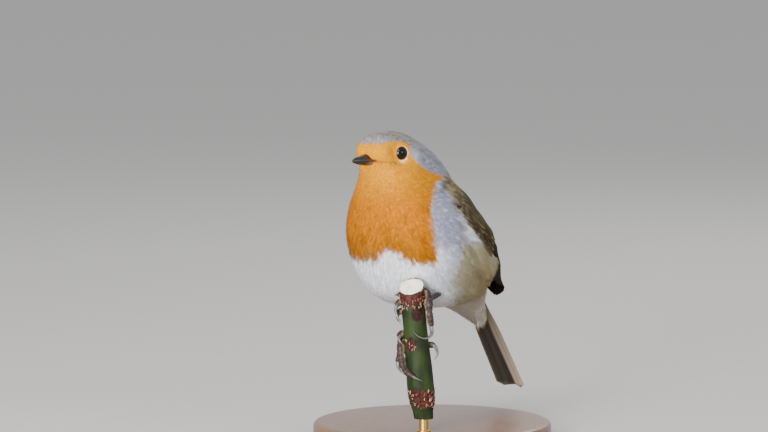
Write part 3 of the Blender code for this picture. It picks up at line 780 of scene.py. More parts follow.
# Distance from the bill and length of a feather; distance from the bill and space between roots.
FEATHER_LENGTH = ((0.0, 0.9), (3.0, 1.1), (8.0, 2.2), (14.0, 3.6), (22.0, 5.4), (34.0, 7.6), (50.0, 9.0),
                  (66.0, 10.0))
ROOT_SPACE = ((0.0, 0.30), (5.0, 0.36), (10.0, 0.42), (20.0, 0.52), (34.0, 0.60), (60.0, 0.66))
# Distances from the bill that count as the face, whose feathers have fewer barbs.
FACE_REACH = 9.0
# Length of a feather's closed part, and the number of its barbs.
PLATE_END = 0.5
BARBS = 9
FACE_BARBS = 5
# Different feathers of each kind, steps that a feather takes over the skin, and its size on the map.
VARIANTS = 8
WALK = 3
PATCH = 0.003
# How near to a wing's solid a feather's tip counts as lying on the wing, and how far it then rises.
ON_WING = 2.2
WING_RISE = 1.1
# How far a feather's root sinks into the skin.
ROOT_SINK = 0.15
TRIES = 200000
# Each piece of the coat is the plumage nearest to its centre.
COAT_PIECES = {
    "coat_face": Vector((0.0, -26.0, 36.0)), "coat_crown": Vector((0.0, -8.0, 42.0)),
    "coat_throat": Vector((0.0, -28.0, 22.0)), "coat_nape": Vector((0.0, 6.0, 28.0)),
    "coat_breast_left": Vector((14.0, -24.0, 8.0)), "coat_breast_right": Vector((-14.0, -24.0, 8.0)),
    "coat_side_left": Vector((24.0, -8.0, 6.0)), "coat_side_right": Vector((-24.0, -8.0, 6.0)),
    "coat_belly": Vector((0.0, -18.0, -20.0)), "coat_back": Vector((0.0, 20.0, 6.0)),
    "coat_flank_left": Vector((22.0, 6.0, -18.0)), "coat_flank_right": Vector((-22.0, 6.0, -18.0)),
    "coat_vent": Vector((0.0, 14.0, -28.0)), "coat_rump": Vector((0.0, 30.0, -20.0))}


def feather_template(rng, barbs):
    """A thin closed vane whose end splits into barbs: x across, y outward, z from root 0 to tip 1."""
    bm = bmesh.new()
    plate = bmesh.ops.create_cone(bm, cap_ends=True, segments=4, radius1=0.5, radius2=1.0, depth=PLATE_END)
    bmesh.ops.translate(bm, vec=(0, 0, PLATE_END / 2), verts=plate["verts"])
    bmesh.ops.scale(bm, vec=(0.85, 0.25, 1.0), verts=bm.verts[:])
    tint = [1.0] * len(bm.verts)
    for k in range(barbs):
        across = (2 * (k + 0.5) / barbs - 1) + rng.uniform(-0.08, 0.08)
        reach = 1.0 - 0.3 * across ** 2 - rng.uniform(0.0, 0.16)
        start = PLATE_END * rng.uniform(0.5, 0.75)
        spike = bmesh.ops.create_cone(bm, cap_ends=True, segments=3, radius1=1.0, radius2=0.0,
                                      depth=reach - start)["verts"]
        bmesh.ops.translate(bm, vec=(0, 0, (reach + start) / 2), verts=spike)
        bmesh.ops.scale(bm, vec=(1.7 / barbs, 0.16, 1.0), verts=spike)
        bow = rng.uniform(-0.12, 0.12)
        high = rng.uniform(0.0, 0.25)
        for vert in spike:
            share = (vert.co.z - start) / (reach - start)
            vert.co.x += across * (0.7 + 0.45 * share) + bow * share
            vert.co.y += 0.08 + high * share
        tint += [rng.uniform(0.86, 1.12)] * len(spike)
    bmesh.ops.triangulate(bm, faces=bm.faces[:])
    bmesh.ops.recalc_face_normals(bm, faces=bm.faces[:])
    verts = np.array([v.co for v in bm.verts])
    faces = np.array([[v.index for v in f.verts] for f in bm.faces])
    bm.free()
    return verts, faces, np.array(tint)


def flow(points):
    """The way that feathers point: away from the bill, round the eyes, and on towards the tail."""
    away = points - BILL_BASE
    reach = np.linalg.norm(away, axis=1, keepdims=True)
    near = np.exp(-reach / 14.0)
    home = np.array(TAIL_ROOT + TAIL_DOWN * 14.0) - points
    home /= np.linalg.norm(home, axis=1, keepdims=True) + 1e-9
    far, _turn, out = off_eye(points)
    ring = 1.6 * np.exp(-np.maximum(far - 3.2, 0.0) / 1.1)[:, None]
    return away / (reach + 1e-9) * near + home * (1 - near) + out * ring


def skin_surface():
    """The skin's triangles, its map and a tree that finds its nearest point."""
    mesh = bpy.data.objects["skin"].data
    mesh.calc_loop_triangles()
    count = len(mesh.loop_triangles)
    verts = to_bird(mesh)
    corners = np.empty(count * 3, np.int32)
    loops = np.empty(count * 3, np.int32)
    mesh.loop_triangles.foreach_get("vertices", corners)
    mesh.loop_triangles.foreach_get("loops", loops)
    spots = np.empty(len(mesh.loops) * 2, np.float32)
    mesh.uv_layers["OFBake"].uv.foreach_get("vector", spots)
    corners = corners.reshape(-1, 3)
    tree = BVHTree.FromPolygons([Vector(v) for v in verts], corners.tolist())
    return verts, corners, spots.reshape(-1, 2)[loops].reshape(-1, 3, 2), tree


def scatter(surface, space, rng, tries):
    """Even random roots on the skin, no nearer to each other than the space asked for at each."""
    verts, corners, spots, _tree = surface
    a, b, c = (verts[corners[:, k]] for k in range(3))
    centres = (a + b + c) / 3
    areas = np.linalg.norm(np.cross(b - a, c - a), axis=1) / 2
    weights = areas / space(centres) ** 2
    chosen = rng.choice(len(corners), size=tries, p=weights / weights.sum())
    u, v = rng.random(tries), rng.random(tries)
    flip = u + v > 1
    u[flip], v[flip] = 1 - u[flip], 1 - v[flip]
    shares = np.stack([1 - u - v, u, v], 1)
    points = (verts[corners[chosen]] * shares[:, :, None]).sum(1)
    places = (spots[chosen] * shares[:, :, None]).sum(1)
    gaps = space(points)
    cells = {}
    kept = []
    step = gaps.max()
    keys = np.floor(points / step).astype(int)
    near = [(i, j, k) for i in (-1, 0, 1) for j in (-1, 0, 1) for k in (-1, 0, 1)]
    for n in range(tries):
        x, y, z = points[n]
        kx, ky, kz = keys[n]
        limit = gaps[n] ** 2
        clear = True
        for i, j, k in near:
            for px, py, pz in cells.get((kx + i, ky + j, kz + k), ()):
                if (px - x) ** 2 + (py - y) ** 2 + (pz - z) ** 2 < limit:
                    clear = False
                    break
            if not clear:
                break
        if clear:
            cells.setdefault((kx, ky, kz), []).append((x, y, z))
            kept.append(n)
    return points[kept], places[kept]


def walk(tree, roots, lengths, way):
    """Follow the skin from each root: points, outward normals and sideways directions at each step."""
    points, normals, sides = [], [], []
    here = roots.copy()
    for step in range(WALK + 1):
        found = [tree.find_nearest(Vector(p)) for p in here]
        # Past the rump's end the feathers run on straight over the tail.
        past = soft((here - TAIL_ROOT) @ TAIL_DOWN, -4.0, 0.0)[:, None] * (step > 0)
        here = np.array([f[0] for f in found]) * (1 - past) + here * past
        normal = np.array([f[1] for f in found])
        if step:
            normal = unit(normal * (1 - past) + normals[-1] * past)
        ahead = way(here) + np.array(TAIL_DOWN) * past * 3
        ahead = unit(ahead - normal * (ahead * normal).sum(1, keepdims=True))
        points.append(here)
        normals.append(normal)
        sides.append(np.cross(normal, ahead))
        here = here + ahead * (lengths / WALK)[:, None]
    return np.stack(points, 1), np.stack(normals, 1), np.stack(sides, 1)


def between(rows, share):
    """Values of each feather's steps at shares of its length, one for each template vertex."""
    place = np.clip(share, 0.0, 1.0) * WALK
    low = np.minimum(place.astype(int), WALK - 1)
    t = (place - low)[None, :, None]
    return rows[:, low] * (1 - t) + rows[:, low + 1] * t


def tuft_grid(tufts, template):
    """Points, outward directions, colours and map places of every tuft made from one template."""
    verts, _faces, tint = template
    share = verts[:, 2]
    point, normal, side = (between(tufts[key], share) for key in ("points", "normals", "sides"))
    bend = tufts["bend"][:, None] * share[None] ** 2
    across = verts[None, :, 0] * tufts["width"][:, None] + bend
    rise = tufts["sink"][:, None] + tufts["lift"][:, None] * share[None] ** 1.2
    rise = rise + verts[None, :, 1] * tufts["thick"][:, None]
    place = point + side * across[..., None] + normal * rise[..., None]
    # Each feather is painted darker towards its root, a painted shade where the feathers over it cover it,
    # and each barb keeps its own tint.
    colours = tufts["colour"][:, None, :] * ((0.86 + 0.16 * share) * tint)[None, :, None]
    spots = tufts["spot"][:, None, :] + PATCH * np.stack([verts[:, 0] * 0.5, share - 0.5], 1)[None]
    return place, normal, colours, spots


def grow_feathers(name, tufts, templates, material):
    """Array closed feathers over the skin as one piece."""
    parts = []
    tris = []
    offset = 0
    for kind, template in enumerate(templates):
        mine = tufts["kind"] == kind
        count = np.count_nonzero(mine)
        if not count:
            continue
        grid = tuft_grid({key: value[mine] for key, value in tufts.items()}, template)
        parts.append([rows.reshape(-1, rows.shape[-1]) for rows in grid])
        per = len(template[0])
        starts = (np.arange(count) * per)[:, None, None]
        tris.append((template[1][None] + starts).reshape(-1, 3) + offset)
        offset += count * per
    places, outward, colours, spots = (np.concatenate(rows) for rows in zip(*parts))
    tris = np.concatenate(tris)
    mesh = bpy.data.meshes.new(name)
    mesh.vertices.add(len(places))
    mesh.vertices.foreach_set("co", ((places + BIRD) * MM).ravel())
    mesh.loops.add(tris.size)
    mesh.loops.foreach_set("vertex_index", tris.ravel())
    mesh.polygons.add(len(tris))
    mesh.polygons.foreach_set("loop_start", np.arange(0, tris.size, 3))
    mesh.update(calc_edges=True)
    paint(mesh, colours)
    layer = mesh.uv_layers.new(name="OFBake")
    layer.uv.foreach_set("vector", np.clip(spots, 0, 1)[tris.ravel()].astype(np.float32).ravel())
    mesh.shade_smooth()
    # Down scatters light, so the barbs are shaded mostly by the way that the skin below them faces.
    own = np.empty(len(places) * 3, np.float32)
    mesh.vertex_normals.foreach_get("vector", own)
    shaded = unit(0.3 * own.reshape(-1, 3) + 0.8 * outward)
    mesh.normals_split_custom_set_from_vertices(shaded)
    return enter_piece(name, mesh, material)


def bare_place(points):
    """Where no body feather has its root: in the eyes and in the bill's horn."""
    far, opening, _out = off_eye(points)
    half, above, below, gape, _y = bill_row(bill_share(points))
    height = points[:, 2] - gape
    horn = np.hypot(points[:, 0] / half, height / np.where(height > 0, above, below))
    return (far < 4.2) & (opening < 1.04) | (points[:, 1] < -27.0) & (horn < 0.98)


def on_bare_tail(tips):
    """Where a feather's tip would lie on the tail's own vanes."""
    over_tail = tips - TAIL_ROOT
    narrow = 1.2 * np.maximum(np.abs(tips[:, 0]) - 1.5, 0.0)
    return over_tail @ TAIL_DOWN > read(TAIL_EDGE, over_tail @ TAIL_BACK) - narrow


class ROBIN_OT_coat(bpy.types.Operator):
    """Grow the body's feathers over the skin"""
    bl_idname = "robin.coat"
    bl_label = "Coat"

    def execute(self, context):
        look = context.scene.robin_plumage
        rng = np.random.default_rng(SEED)
        surface = skin_surface()

        def space(points):
            return read(ROOT_SPACE, np.linalg.norm(points - BILL_BASE, axis=1)) * look.spacing

        roots, spots = scatter(surface, space, rng, TRIES)
        keep = ~bare_place(roots)
        roots, spots = roots[keep], spots[keep]
        reach = np.linalg.norm(roots - BILL_BASE, axis=1)
        lengths = read(FEATHER_LENGTH, reach) * look.length * rng.uniform(0.75, 1.2, len(roots))
        lengths = np.minimum(lengths, 0.6 + 0.55 * np.maximum(off_eye(roots)[0] - 3.0, 0.0))
        points, normals, sides = walk(surface[3], roots, lengths, flow)
        tips = points[:, 2]
        wings = solid_tree("wing_left", "wing_right")
        by_wing = np.array([wings.find_nearest(Vector(p), ON_WING)[0] is not None for p in tips])
        down, front = wing_place(tips)
        past_mantle = down > read(MANTLE_EDGE, front) + 2 * mottle(tips, 3.0)
        on_vanes = by_wing & (front < read(PLUME_EDGE, down)) & past_mantle
        keep = ~on_vanes & ~on_bare_tail(tips)
        points, normals, sides, tips = points[keep], normals[keep], sides[keep], tips[keep]
        roots, spots, lengths, reach = roots[keep], spots[keep], lengths[keep], reach[keep]
        by_wing, down, front = by_wing[keep], down[keep], front[keep]
        count = len(roots)
        colours = markings(tips)
        bright = rng.uniform(0.93, 1.07, count)
        olive = (colours[:, 0] < 0.45) & (colours[:, 2] < colours[:, 0])
        bright = np.where(olive, rng.uniform(0.78, 1.2, count), bright)
        # The mantle's feathers over the wing have dark blotches.
        blotch = soft(mottle(tips * (1.0, 1.0, 0.7), 2.4, 30.0) + rng.normal(0.0, 0.12, count), 0.05, 0.3)
        mantle = by_wing & (down < 30.0) & (front < read(PLUME_EDGE, down) - 1.0) & (colours[:, 2] > 0.1)
        bright = bright * (1 - 0.62 * blotch * mantle)
        lift = np.maximum(coat_depth(roots), 0.3) * rng.uniform(0.8, 1.15, count) + 0.1 + 0.03 * lengths
        lift = lift + by_wing * WING_RISE * soft(down, -3.0, 3.0)
        tufts = {
            "points": points, "normals": normals, "sides": sides, "spot": spots,
            "colour": colours * bright[:, None],
            "width": lengths * 0.12 * rng.uniform(0.8, 1.2, count) + 0.12,
            "thick": 0.05 + lengths * 0.02,
            "bend": lengths * rng.normal(0.0, 0.09, count),
            "sink": -ROOT_SINK * np.ones(count),
            "lift": lift,
            "kind": np.where(reach < FACE_REACH, 0, VARIANTS) + rng.integers(0, VARIANTS, count)}
        templates = [feather_template(rng, FACE_BARBS) for _ in range(VARIANTS)]
        templates += [feather_template(rng, BARBS) for _ in range(VARIANTS)]
        material = feather_material("body_feather", 0.8)
        centres = np.array(list(COAT_PIECES.values()))
        nearest = np.linalg.norm(roots[:, None] - centres[None], axis=2).argmin(1)
        for k, name in enumerate(COAT_PIECES):
            part = {key: value[nearest == k] for key, value in tufts.items()}
            grow_feathers(name, part, templates, material)
        return {"FINISHED"}


# Wings and tail

# Folded wing from shoulder to tip: place, half width, thickness, bow round the body.
WING = ((Vector((15.6, -7.6, 22.0)), 3.4, 2.4, 0.6), (Vector((17.4, -3.8, 18.4)), 7.2, 4.0, 1.4),
        (Vector((19.6, 3.6, 11.0)), 10.0, 4.6, 2.4), (Vector((20.8, 12.4, 0.0)), 10.8, 4.2, 2.8),
        (Vector((18.2, 21.0, -11.5)), 8.4, 3.2, 1.8), (Vector((15.4, 26.4, -18.8)), 6.0, 2.2, 0.8),
        (Vector((13.0, 30.2, -24.4)), 2.8, 1.2, 0.0))
VANE_THICK = 0.14
# How far the folded wing's rear edge lies over the back's solids, and at least over the skin.
WING_OVER_BACK = 1.7
WING_OVER_SKIN = 2.3
WING_ROOF = 46.0
# Distances from the shoulder between which the long feathers turn to that slope.
ROOF_SPAN = (44.0, 58.0)
# Where the rear edge begins to fold down on the back and where it is all down: distances forward over
# the wing, and distances from the shoulder.
FOLD_ACROSS = (-5.0, -9.0)
FOLD_ALONG = (18.0, 30.0)
# Distance from the shoulder, and how far the feathers stand off the solid there.
WING_LIFT = ((0.0, -1.0), (10.0, -0.6), (18.0, 0.3), (30.0, 1.7), (44.0, 2.2), (50.0, 2.2), (56.0, 0.6),
             (62.0, -1.0))


def wing_frames():
    """Places, directions and sizes down the left wing, with their distances from the shoulder."""
    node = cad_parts["wing_left"].data
    centres = np.array([p.center for p in node.polygons]) / MM - BIRD
    normals = np.array([p.normal for p in node.polygons])
    areas = np.array([p.area for p in node.polygons])
    places = spline([row[0] for row in WING], 4)
    sizes = spline([row[1:] for row in WING], 4)
    rows, reach = [], 0.0
    for i, (place, size) in enumerate(zip(places, sizes)):
        reach += (place - places[i - 1]).length if i else 0.0
        along = tangent(places, i)
        near = (np.abs((centres - place) @ along) < 6.0) & (normals[:, 0] > 0)
        out = Vector((normals[near] * areas[near, None]).sum(0))
        out = (out - along * out.dot(along)).normalized()
        rows.append((reach, *place, *out, *along.cross(out), *size))
    return np.array(rows)


def on_wing(rows, a, b, rise):
    """Points on the left wing's outer face, a mm from the shoulder, b mm forward, raised."""
    row = np.stack([np.interp(a, rows[:, 0], rows[:, k]) for k in range(1, rows.shape[1])], -1)
    place, out, across = row[..., 0:3], row[..., 3:6], row[..., 6:9]
    half, thick, bow = row[..., 9], row[..., 10], row[..., 11]
    # Past the flank the long feathers turn to lie like a roof over the rump.
    turn = np.radians(WING_ROOF) * soft(a, *ROOF_SPAN)[..., None]
    across, out = across * np.cos(turn) + out * np.sin(turn), out * np.cos(turn) - across * np.sin(turn)
    t = b / half
    crown = 0.3 + (thick / 2 - 0.3) * np.clip(1 - t * t, 0.0, 1.0) ** 0.6
    stand_off = read(WING_LIFT, a) * (1 - 0.85 * soft(b, -2.0, 4.0) * soft(a, 54.0, 48.0))
    place = place + np.cross(out, across) * np.maximum(a - rows[-1, 0], 0.0)[..., None]
    return place + across * b[..., None] + out * (crown - 0.7 * bow * t * t + rise + stand_off)[..., None]


def fold_down(points, a, b, back, skin):
    """Lay the rear edge of the folded wing on the back, over the skin."""
    share = soft(b, *FOLD_ACROSS) * soft(a, *FOLD_ALONG)
    for k in np.flatnonzero(share > 0):
        place = Vector(points[k])
        spot, normal = skin.find_nearest(place)[:2]
        floor = min((place - spot).dot(normal), WING_OVER_SKIN)
        spot, normal = back.find_nearest(place)[:2]
        place -= normal * max((place - spot).dot(normal) - WING_OVER_BACK, 0.0) * share[k]
        spot, normal = skin.find_nearest(place)[:2]
        points[k] = place + normal * max(floor - (place - spot).dot(normal), 0.0)
    return points


def add_vane(bm, layers, plan, put, cell):
    """One flight feather or covert as a grid laid on a surface: put(along, across, rise) gives points."""
    start = len(bm.verts)
    bmesh.ops.create_grid(bm, x_segments=plan["rows"], y_segments=plan["columns"], size=1.0)
    bm.verts.ensure_lookup_table()
    verts = bm.verts[start:]
    flat = np.array([v.co for v in verts])
    s, t = (flat[:, 0] + 1) / 2, flat[:, 1]
    a0, b0 = plan["root"]
    a1, b1 = plan["tip"]
    length = math.hypot(a1 - a0, b1 - b0)
    round_from = 1 - plan["width"] * plan["blunt"] / length
    taper = np.clip((s - round_from) / (1 - round_from), 0.0, 1.0)
    width = plan["width"] / 2 * (0.45 + 0.55 * soft(s, 0.0, 0.45))
    width = width * np.sqrt(np.clip(1 - taper ** 2.2, 0.0, 1.0))
    spots = np.stack([s * length, t * 9, np.full(len(s), cell * 3.1)], 1)
    ragged = 1 - plan["fray"] * np.abs(mottle(spots, 0.9))
    width = np.maximum(width * np.where(np.abs(t) > 0.9, ragged, 1.0), 0.04)
    bend = plan["bend"] * 4 * s * (1 - s)
    turn = np.array([-(b1 - b0), a1 - a0]) / length
    a = a0 + (a1 - a0) * s + turn[0] * (width * t + bend)
    b = b0 + (b1 - b0) * s + turn[1] * (width * t + bend)
    rachis = 0.10 * bell(t, 0.1) * (1 - s)
    rise = plan["layer"] + plan["lift"] * s - plan["cup"] * t * t + plan["tilt"] * t + rachis
    points = put(a, b, rise)
    edge = soft(t * plan["edge_side"], plan["edge_from"], plan["edge_to"]) * plan["edge_share"]
    rim = np.array(plan["edge"]) * (plan["edge_root"] + (1 - plan["edge_root"]) * s[:, None])
    colours = over(plan["colour"], rim, edge)
    colours = over(colours, plan["tip_colour"], soft(s, plan["tip_from"], 1.0) * plan["tip_share"])
    colours = colours * (0.88 + 0.12 * soft(np.abs(t), 0.0, 0.2))[:, None]
    for k, vert in enumerate(verts):
        vert.co = points[k]
        vert[layers["plumage"]] = (*colours[k], 1.0)
    cells = plan["cells"]
    corner = (cell % cells, cell // cells)
    index = {v: k for k, v in enumerate(verts)}
    for face in {f for v in verts for f in v.link_faces}:
        for loop in face.loops:
            k = index[loop.vert]
            loop[layers["vane"]].uv = (s[k] * length / 10, t[k] * plan["width"] / 20)
            loop[layers["OFBake"]].uv = ((corner[0] + 0.05 + 0.9 * s[k]) / cells,
                                         (corner[1] + 0.05 + 0.45 * (t[k] + 1)) / cells)


# What a feather has where its plan says nothing else.
VANE = {"rows": 14, "columns": 8, "blunt": 0.9, "fray": 0.10, "bend": 0.0, "layer": 0.0, "lift": 0.0,
        "cup": 0.15, "tilt": 0.0, "edge_side": 1.0, "edge_share": 0.7, "tip_share": 0.0, "tip_from": 0.86,
        "edge_from": 0.55, "edge_to": 0.95, "edge_root": 1.0}


def place_vanes(name, plans, put, material, replaces=(), mirror=False):
    """Join the planned feathers as one piece with a real thickness."""
    bm = bmesh.new()
    layers = {"plumage": bm.verts.layers.float_color.new("plumage"), "vane": bm.loops.layers.uv.new("vane"),
              "OFBake": bm.loops.layers.uv.new("OFBake")}
    cells = math.ceil(math.sqrt(len(plans)))
    for cell, plan in enumerate(plans):
        add_vane(bm, layers, {**VANE, **plan, "cells": cells}, put, cell)
    if mirror:
        bmesh.ops.scale(bm, vec=(-1.0, 1.0, 1.0), verts=bm.verts[:])
        bmesh.ops.reverse_faces(bm, faces=bm.faces[:])
    obj = enter_piece(name, finish_mesh(name, bm), material, replaces)
    thick = obj.modifiers.new("thickness", "SOLIDIFY")
    thick.thickness = VANE_THICK * MM
    thick.offset = 0.0
    return obj


def wing_plans(look, rng):
    """Flight feathers from the under layer outwards, then the coverts in rows."""
    # The primaries turn to the wing tip's painted shade over their outer part, and the next six a little at
    # their tips.
    dark = {"colour": look.wing, "edge": look.wing_edge, "tip_colour": look.wing_tip_shade}
    plans = []
    # Tips of the primaries: distance from the shoulder, and forward over the wing.
    tips = ((52.5, 1.8), (55.8, 1.2), (58.2, 0.4), (59.6, -0.6), (59.8, -1.6), (59.2, -2.8), (58.0, -4.0),
            (56.6, -5.4), (55.0, -6.6))
    for i, tip in enumerate(tips):
        plans.append({**dark, "root": (18.0, 5.4 - 1.5 * i), "tip": tip, "width": 5.6,
                      "layer": -1.0 + 0.10 * i, "rows": 20, "bend": 0.4 - 0.15 * i, "tilt": -0.1,
                      "tip_share": 0.95, "tip_from": 0.4, "blunt": 0.8, "edge_share": 0.3 if i > 2 else 0.0})
    for i in range(6):
        plans.append({**dark, "root": (13.0, 2.0 - 1.7 * i), "tip": (49.5 - 0.9 * i, -5.4 - 0.85 * i),
                      "width": 6.0, "layer": -0.25 + 0.08 * i, "rows": 18, "bend": 0.7, "tilt": -0.1,
                      "edge_from": 0.7, "edge_share": 0.6 if i else 0.0, "tip_share": 0.3})
    for i in range(3):
        plans.append({**dark, "root": (8.0, -3.6 - 1.9 * i), "tip": (44.5 - 5.5 * i, -8.4 - 0.7 * i),
                      "width": 6.8, "layer": 0.2 + 0.10 * i, "rows": 16, "bend": 0.5, "edge_from": 0.7,
                      "edge_share": 0.8})
    brown = {"colour": look.covert, "edge": look.wing_edge, "tip_colour": look.wing_edge}
    # Rows of coverts: how many, where roots and tips lie down the wing, place across it of the first
    # and the last, width, height over the wing, and share of the pale tip.
    rows = ((15, 15.0, 32.5, 5.4, -10.4, 2.7, 0.30, 0.35), (14, 10.5, 24.0, 5.6, -10.2, 2.5, 0.40, 0.3),
            (12, 7.0, 17.5, 5.2, -9.4, 2.3, 0.44, 0.25))
    for count, start, end, front, back, width, layer, light in rows:
        for i in range(count):
            f = i / (count - 1)
            b = front + (back - front) * f
            jog = rng.uniform(-0.8, 0.8)
            shade = rng.uniform(0.5, 1.4)
            tip = (end + 3.0 - 6.5 * f * (end > 20) + jog, b * 0.88 + rng.uniform(-0.3, 0.3))
            plans.append({**brown, "root": (start + jog, b * 0.82), "tip": tip, "width": width,
                          "colour": tuple(c * shade for c in look.covert), "layer": layer + 0.02 * i,
                          "rows": 9, "columns": 6, "blunt": 1.3, "edge_from": 0.25, "edge_to": 0.65,
                          "edge_share": 0.85 if i > 2 else 0.2, "tip_share": light, "tip_from": 0.84,
                          "fray": 0.3, "lift": 0.1})
    return plans


class ROBIN_OT_wings(bpy.types.Operator):
    """Lay the flight feathers and coverts of both folded wings"""
    bl_idname = "robin.wings"
    bl_label = "Wings"

    def execute(self, context):
        rows = wing_frames()
        skin, back = skin_surface()[3], solid_tree("trunk", "rump")
        material = vane_material("flight_feather_vane")

        def put(a, b, rise):
            return fold_down(on_wing(rows, a, b, rise), a, b, back, skin)

        for side, sign in SIDES.items():
            plans = wing_plans(context.scene.robin_plumage, np.random.default_rng(SEED + 1))
            place_vanes("wing_feathers_" + side, plans, put, material, ["wing_" + side], sign < 0)
        return {"FINISHED"}


def on_tail(a, b, rise):
    """Points on the tail's plane, a mm down from its root, b mm to the left, raised over its back."""
    arch = 0.35 - 0.012 * b * b
    return (np.array(TAIL_ROOT) + np.outer(a, TAIL_DOWN) + np.outer(b, (1.0, 0.0, 0.0))
            + np.outer(rise + arch, TAIL_BACK))


class ROBIN_OT_tail(bpy.types.Operator):
    """Lay the twelve tail feathers, the middle pair on top"""
    bl_idname = "robin.tail"
    bl_label = "Tail"

    def execute(self, context):
        look = context.scene.robin_plumage
        plans = []
        for i in range(6):
            for sign in (1, -1):
                # The outer vane on the left is painted pale all over: a painted highlight where the light
                # catches it, darker towards its root.
                pale = i == 5 and sign > 0
                root, tip = 1.0 + sign * (0.5 + 0.5 * i), 1.2 + sign * (0.7 + 0.72 * i)
                plans.append({"root": (-12.0, root), "tip": (TAIL_LENGTH + 0.2 - 0.06 * i, tip), "lift": -1.0,
                              "width": 7.0 - 0.12 * i, "layer": 1.8 - 0.26 * i + (0.08 if sign > 0 else 0.0),
                              "rows": 24, "columns": 10, "blunt": 0.32, "edge_side": sign, "cup": 0.10,
                              "colour": look.tail, "edge": look.tail_edge_and_highlight, "tip_colour": look.tail_edge_and_highlight,
                              "edge_share": 1.0 if pale else 0.3, "edge_from": -0.75 if pale else 0.7,
                              "edge_to": -0.5 if pale else 0.95, "edge_root": 0.35 if pale else 1.0,
                              "tip_share": 0.6, "tip_from": 0.96, "fray": 0.05})
        place_vanes("tail_feathers", plans, on_tail, vane_material("tail_feather_vane"), ["tail"])
        return {"FINISHED"}


# Head

# The pupil's half angle in degrees, the lid's half width and half thickness, and the nostril's share
# of the bill's length.
PUPIL_ANGLE = 24.0
LID_HALF = (0.2, 0.18)
NOSTRIL = 0.30
# Half the gap between the closed halves of the bill, and the lower half's share of the upper's length.
BILL_GAP = 0.06
LOWER_REACH = 0.95


def eye_axes(sign):
    """A matrix whose Z axis faces out of the eye, with Y up."""
    facing = on_side(EYE_FACING, sign)
    up = (UP - facing * facing.z).normalized()
    turn = Matrix((up.cross(facing), up, facing)).transposed().to_4x4()
    return Matrix.Translation(on_side(EYE, sign)) @ turn


def make_lid(axes):
    """A thin rim round the eye's opening."""
    bm = bmesh.new()
    angle = math.radians(LID_ANGLES[0])
    ring = Matrix.Translation((math.sin(angle) * EYE_RADIUS, 0, math.cos(angle) * EYE_RADIUS))
    lean = Matrix.Rotation(math.radians(90), 4, "X")
    hoop = bmesh.ops.create_circle(bm, segments=8, radius=1.0,
                                   matrix=ring @ lean @ Matrix.Diagonal((*LID_HALF, 1.0, 1.0)))
    turn_round(bm, list({e for v in hoop["verts"] for e in v.link_edges}), 48)
    for vert in bm.verts:
        flat = Vector((vert.co.x, vert.co.y, 0)).normalized()
        hinge = UP.cross(flat)
        vert.co.rotate(Matrix.Rotation(math.radians(lid_angle(flat.y)) - angle, 3, hinge))
    bmesh.ops.transform(bm, matrix=axes, verts=bm.verts[:])
    return bm


class ROBIN_OT_eyes(bpy.types.Operator):
    """Set the eyes and their lids"""
    bl_idname = "robin.eyes"
    bl_label = "Eyes"

    def execute(self, context):
        bare = context.scene.robin_body
        wet, rim = eye_material(), scale_material("lid_skin", 0.5, 0.25)
        for side, sign in SIDES.items():
            axes = eye_axes(sign)
            bm = bmesh.new()
            bmesh.ops.create_uvsphere(bm, u_segments=40, v_segments=40, radius=EYE_RADIUS, matrix=axes)
            obj = place_piece("eyeball_" + side, bm, wet, ["eye_" + side])
            ahead = unit(to_bird(obj.data) - axes.translation) @ on_side(EYE_FACING, sign)
            turn = np.degrees(np.arccos(np.clip(ahead, -1, 1)))
            iris = soft(turn, PUPIL_ANGLE - 2, PUPIL_ANGLE + 2)[:, None]
            paint(obj.data, np.array(bare.iris) * iris)
            lid = place_piece("eyelids_" + side, make_lid(axes), rim)
            paint(lid.data, bare.lid)
        return {"FINISHED"}


def bill_share(points):
    """The share of the bill's length at which points lie."""
    return (BILL_ENDS[0] - points[:, 1]) / (BILL_ENDS[0] - BILL_ENDS[1])


def bill_row(share):
    """Half width, height over and depth under the gape line, the line's height and the place along."""
    half, above, below = (read([(row[0], row[k]) for row in BILL], share) for k in (1, 2, 3))
    y = BILL_ENDS[0] + (BILL_ENDS[1] - BILL_ENDS[0]) * share
    gape = GAPE_ENDS[0] + (GAPE_ENDS[1] - GAPE_ENDS[0]) * share
    return half, above, below, gape, y


def nostril_place():
    """Half width of the bill, place along it and height at the nostrils."""
    half, above, _below, gape, y = bill_row(NOSTRIL)
    return half, y, gape + above * 0.5


def make_bill(part):
    """One half of the bill as a ridged, tapering horn with a flat inner face."""
    upper = part == "upper"
    reach = 1.0 if upper else LOWER_REACH
    steps = 40
    run, sizes = [], []
    for k in range(steps + 1):
        half, above, below, gape, y = bill_row(k / steps * reach)
        run.append(Vector((0.0, y, gape + (BILL_GAP if upper else -BILL_GAP))))
        sizes.append((half, above if upper else below))
    bm = bmesh.new()

    def shape(_share, x, y):
        if (y > 0) != upper:
            return x, y * 0.06
        return x * (1 - 0.22 * y * y), y

    sweep(bm, stations(run, sizes, UP), 36, shape)
    if upper:
        half, y, height = nostril_place()
        for sign in SIDES.values():
            spot = Vector((sign * half * 0.86, y, height))
            for vert in bm.verts:
                off = vert.co - spot
                dent = math.exp(-(off.y / 0.75) ** 2 - (off.z / 0.34) ** 2 - (off.x / 1.2) ** 2)
                vert.co.x -= sign * 0.34 * dent
    return bm


def make_bristles(rng):
    """Six stiff hairs that point forward from each corner of the bill."""
    bm = bmesh.new()
    for sign in SIDES.values():
        for k in range(6):
            start = Vector((sign * (2.5 + 0.12 * k), -26.9 + 0.45 * k, 33.2 + 0.25 * k - 0.5 * (k % 2)))
            ahead = Vector((sign * rng.uniform(0.35, 0.6), -1.0, rng.uniform(-0.25, 0.15))).normalized()
            shares = (0, 0.25, 0.5, 0.75, 1)
            run = [start + ahead * 2.9 * q + Vector((0, 0, -0.35 * q * q)) for q in shares]
            sizes = [(0.055 * (1 - 0.75 * q),) * 2 for q in shares]
            sweep(bm, stations(run, sizes, UP), 5)
    return bm


